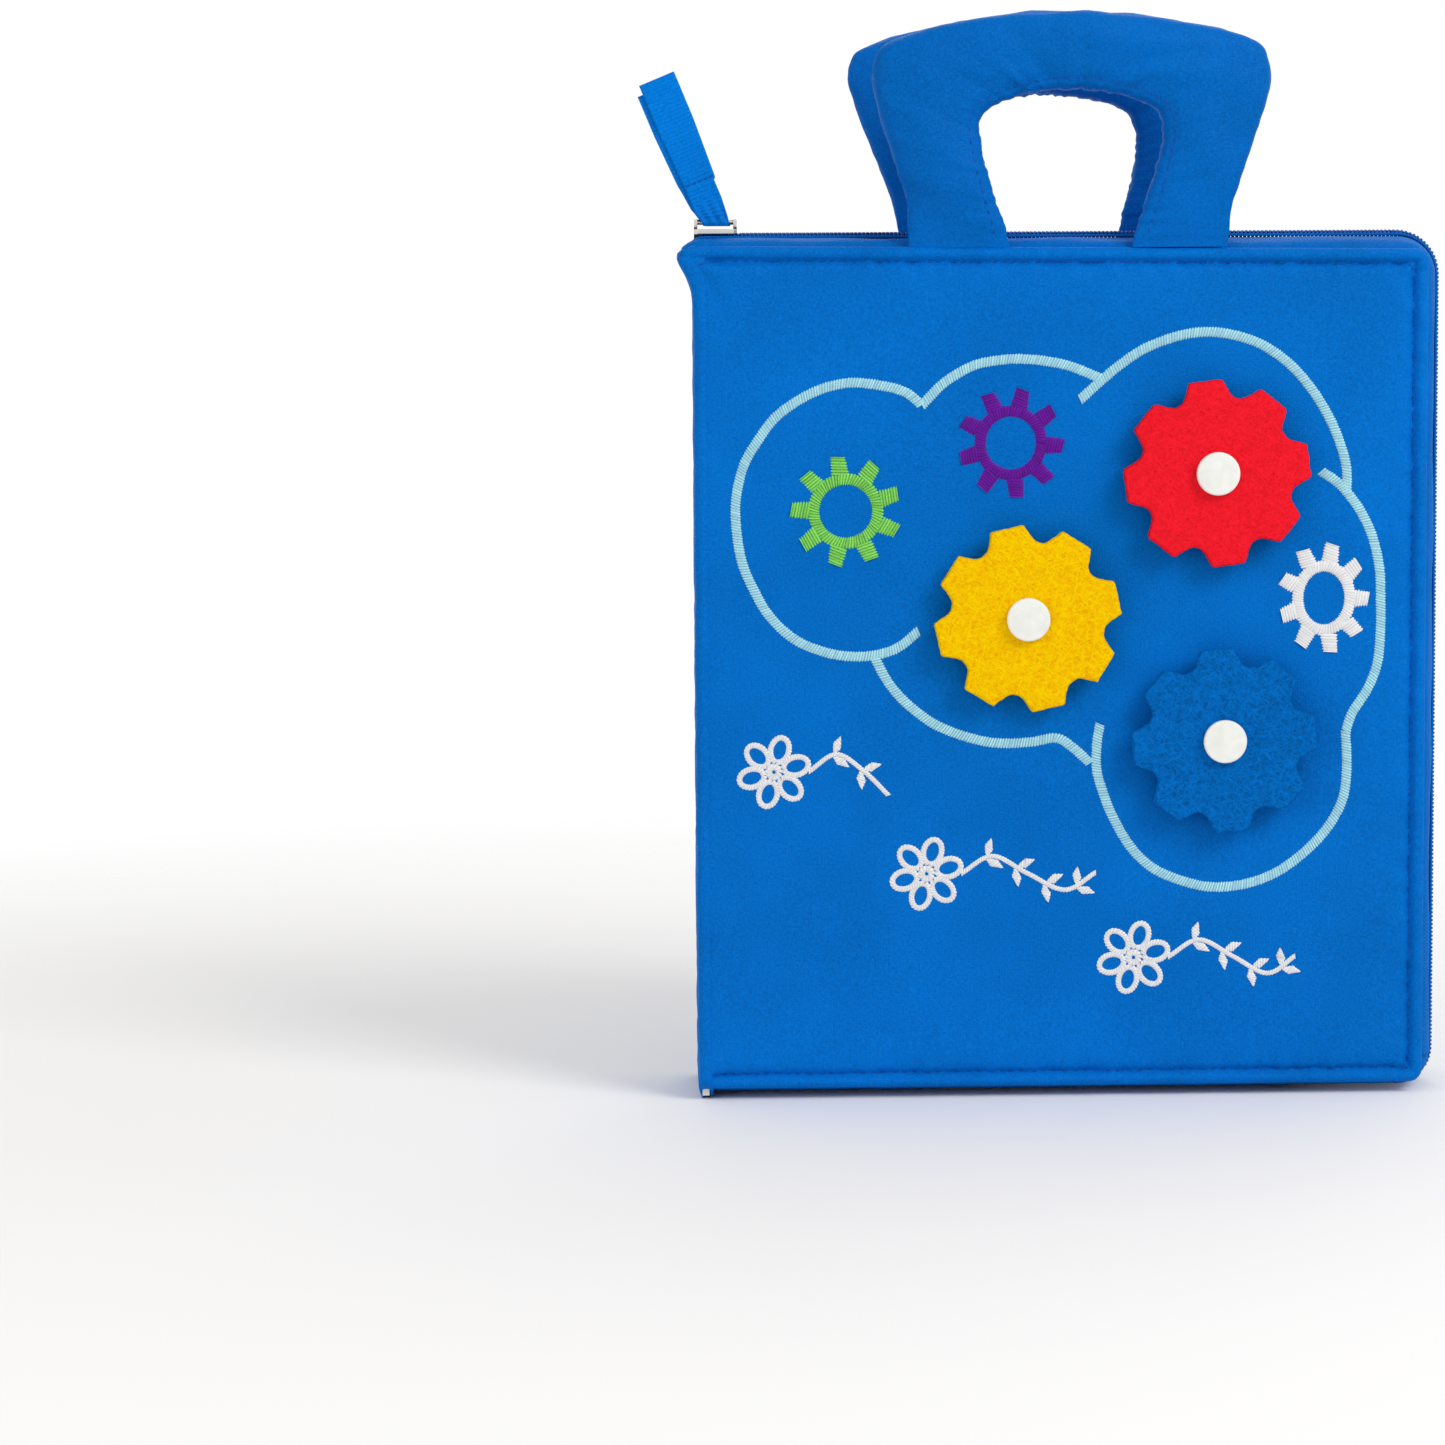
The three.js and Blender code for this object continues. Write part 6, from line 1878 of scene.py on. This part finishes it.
# %% Balloons
balloons = {
    "purple": dict(
        paint=(75, 36, 136), snap=(31.46, 95.028), tail=[(164.5, 44), (160, 37), (157, 29)],
        string=[(31.5, 95.5), (60, 106), (92, 103), (125, 86), (152, 64), (164.5, 49)],
    ),
    "green": dict(
        paint=(56, 162, 68), snap=(73.788, 146.64), tail=[(166.5, 43), (167, 36), (165, 27)],
        string=[(73.8, 147), (80, 145), (113, 124), (138, 94), (158, 62), (165.5, 49)],
    ),
    "red": dict(
        paint=(222, 20, 46), snap=(117.078, 160.104), tail=[(163.5, 45), (154, 40), (147, 33)],
        string=[(117.1, 160), (118, 152), (138, 128), (154, 96), (163, 68), (166.5, 49)],
    ),
    "blue": dict(
        paint=(88, 166, 222), snap=(160.368, 151.128), tail=[(163.5, 47), (148, 50), (133, 44)],
        string=[(160.4, 151), (177, 146), (180, 122), (171, 88), (172, 64), (167.5, 49)],
    ),
}
tab_corners = [(-4.6, -1), (-2.6, -4.6), (2.6, -4.6), (4.6, -1), (4.4, 5), (4.2, 9.4), (-4.2, 9.4), (-4.4, 5)]
around = np.linspace(0, 2 * math.pi, 112, endpoint=False)
string_threads = {}
for number, (name, balloon) in enumerate(balloons.items(), 1):
    balloon_cloth = cloth(f"balloon_{name}", balloon["paint"], pitch=0.5, roughness=0.5, depth=0.05)
    string_threads[name] = thread(f"string_{name}", balloon["paint"])
    snap_x, snap_z = balloon["snap"]
    centre = snap_x, snap_z + 30
    swell = 1 + 0.16 * np.sin(around)
    oval = np.stack([snap_x + 18 * swell * np.cos(around), snap_z + 30 + 25 * np.sin(around)], 1)
    form = stuffed_shape(f"balloon_{name}_form", oval, centre, 10.8, 6.4, balloon_cloth, 3.0 * number, 0.55)
    tab_outline = closed_smooth([(snap_x + x, snap_z + z) for x, z in tab_corners], 0.8)
    tab = cut_shape(f"balloon_{name}_tab", tab_outline, 10.0, 11.6, balloon_cloth, round_edge=0.5)
    strings = [(smooth_line(balloon[part], 0.5), (0.62, 0.62)) for part in ("string", "tail")]
    satin(f"balloon_{name}_strings", "leaf_4", strings, faces_of["leaf_4"], -1, string_threads[name], rise=0.5)
    for half in ("stud", "socket"):
        finish_node(f"{name}_balloon_{half}", white_plastic)
    join(f"balloon_{name}_form", form, tab)
    dress(form, f"{name}_balloon", f"balloon_{name}", f"{name}_balloon")
bow_loops = [
    [(165.5, 46.5), (171, 51), (180, 53.5), (184, 49.5), (178, 45.5), (170, 45)],
    [(165.5, 46.5), (161, 52), (152, 57), (147, 53.5), (152, 48.5), (160, 46)],
]
bow = [(close_loop(closed_smooth(loop, 0.5)), (0.7, 0.7)) for loop in bow_loops]
bow.append(([(162.5, 46.8), (168.5, 46.2)], (2.0, 2.0)))
satin("string_bow", "leaf_4", bow, faces_of["leaf_4"], -1, string_threads["red"], rise=0.75)
print("balloons:", len(balloons))

# %% Clearing the selection
bpy.ops.object.select_all(action="DESELECT")
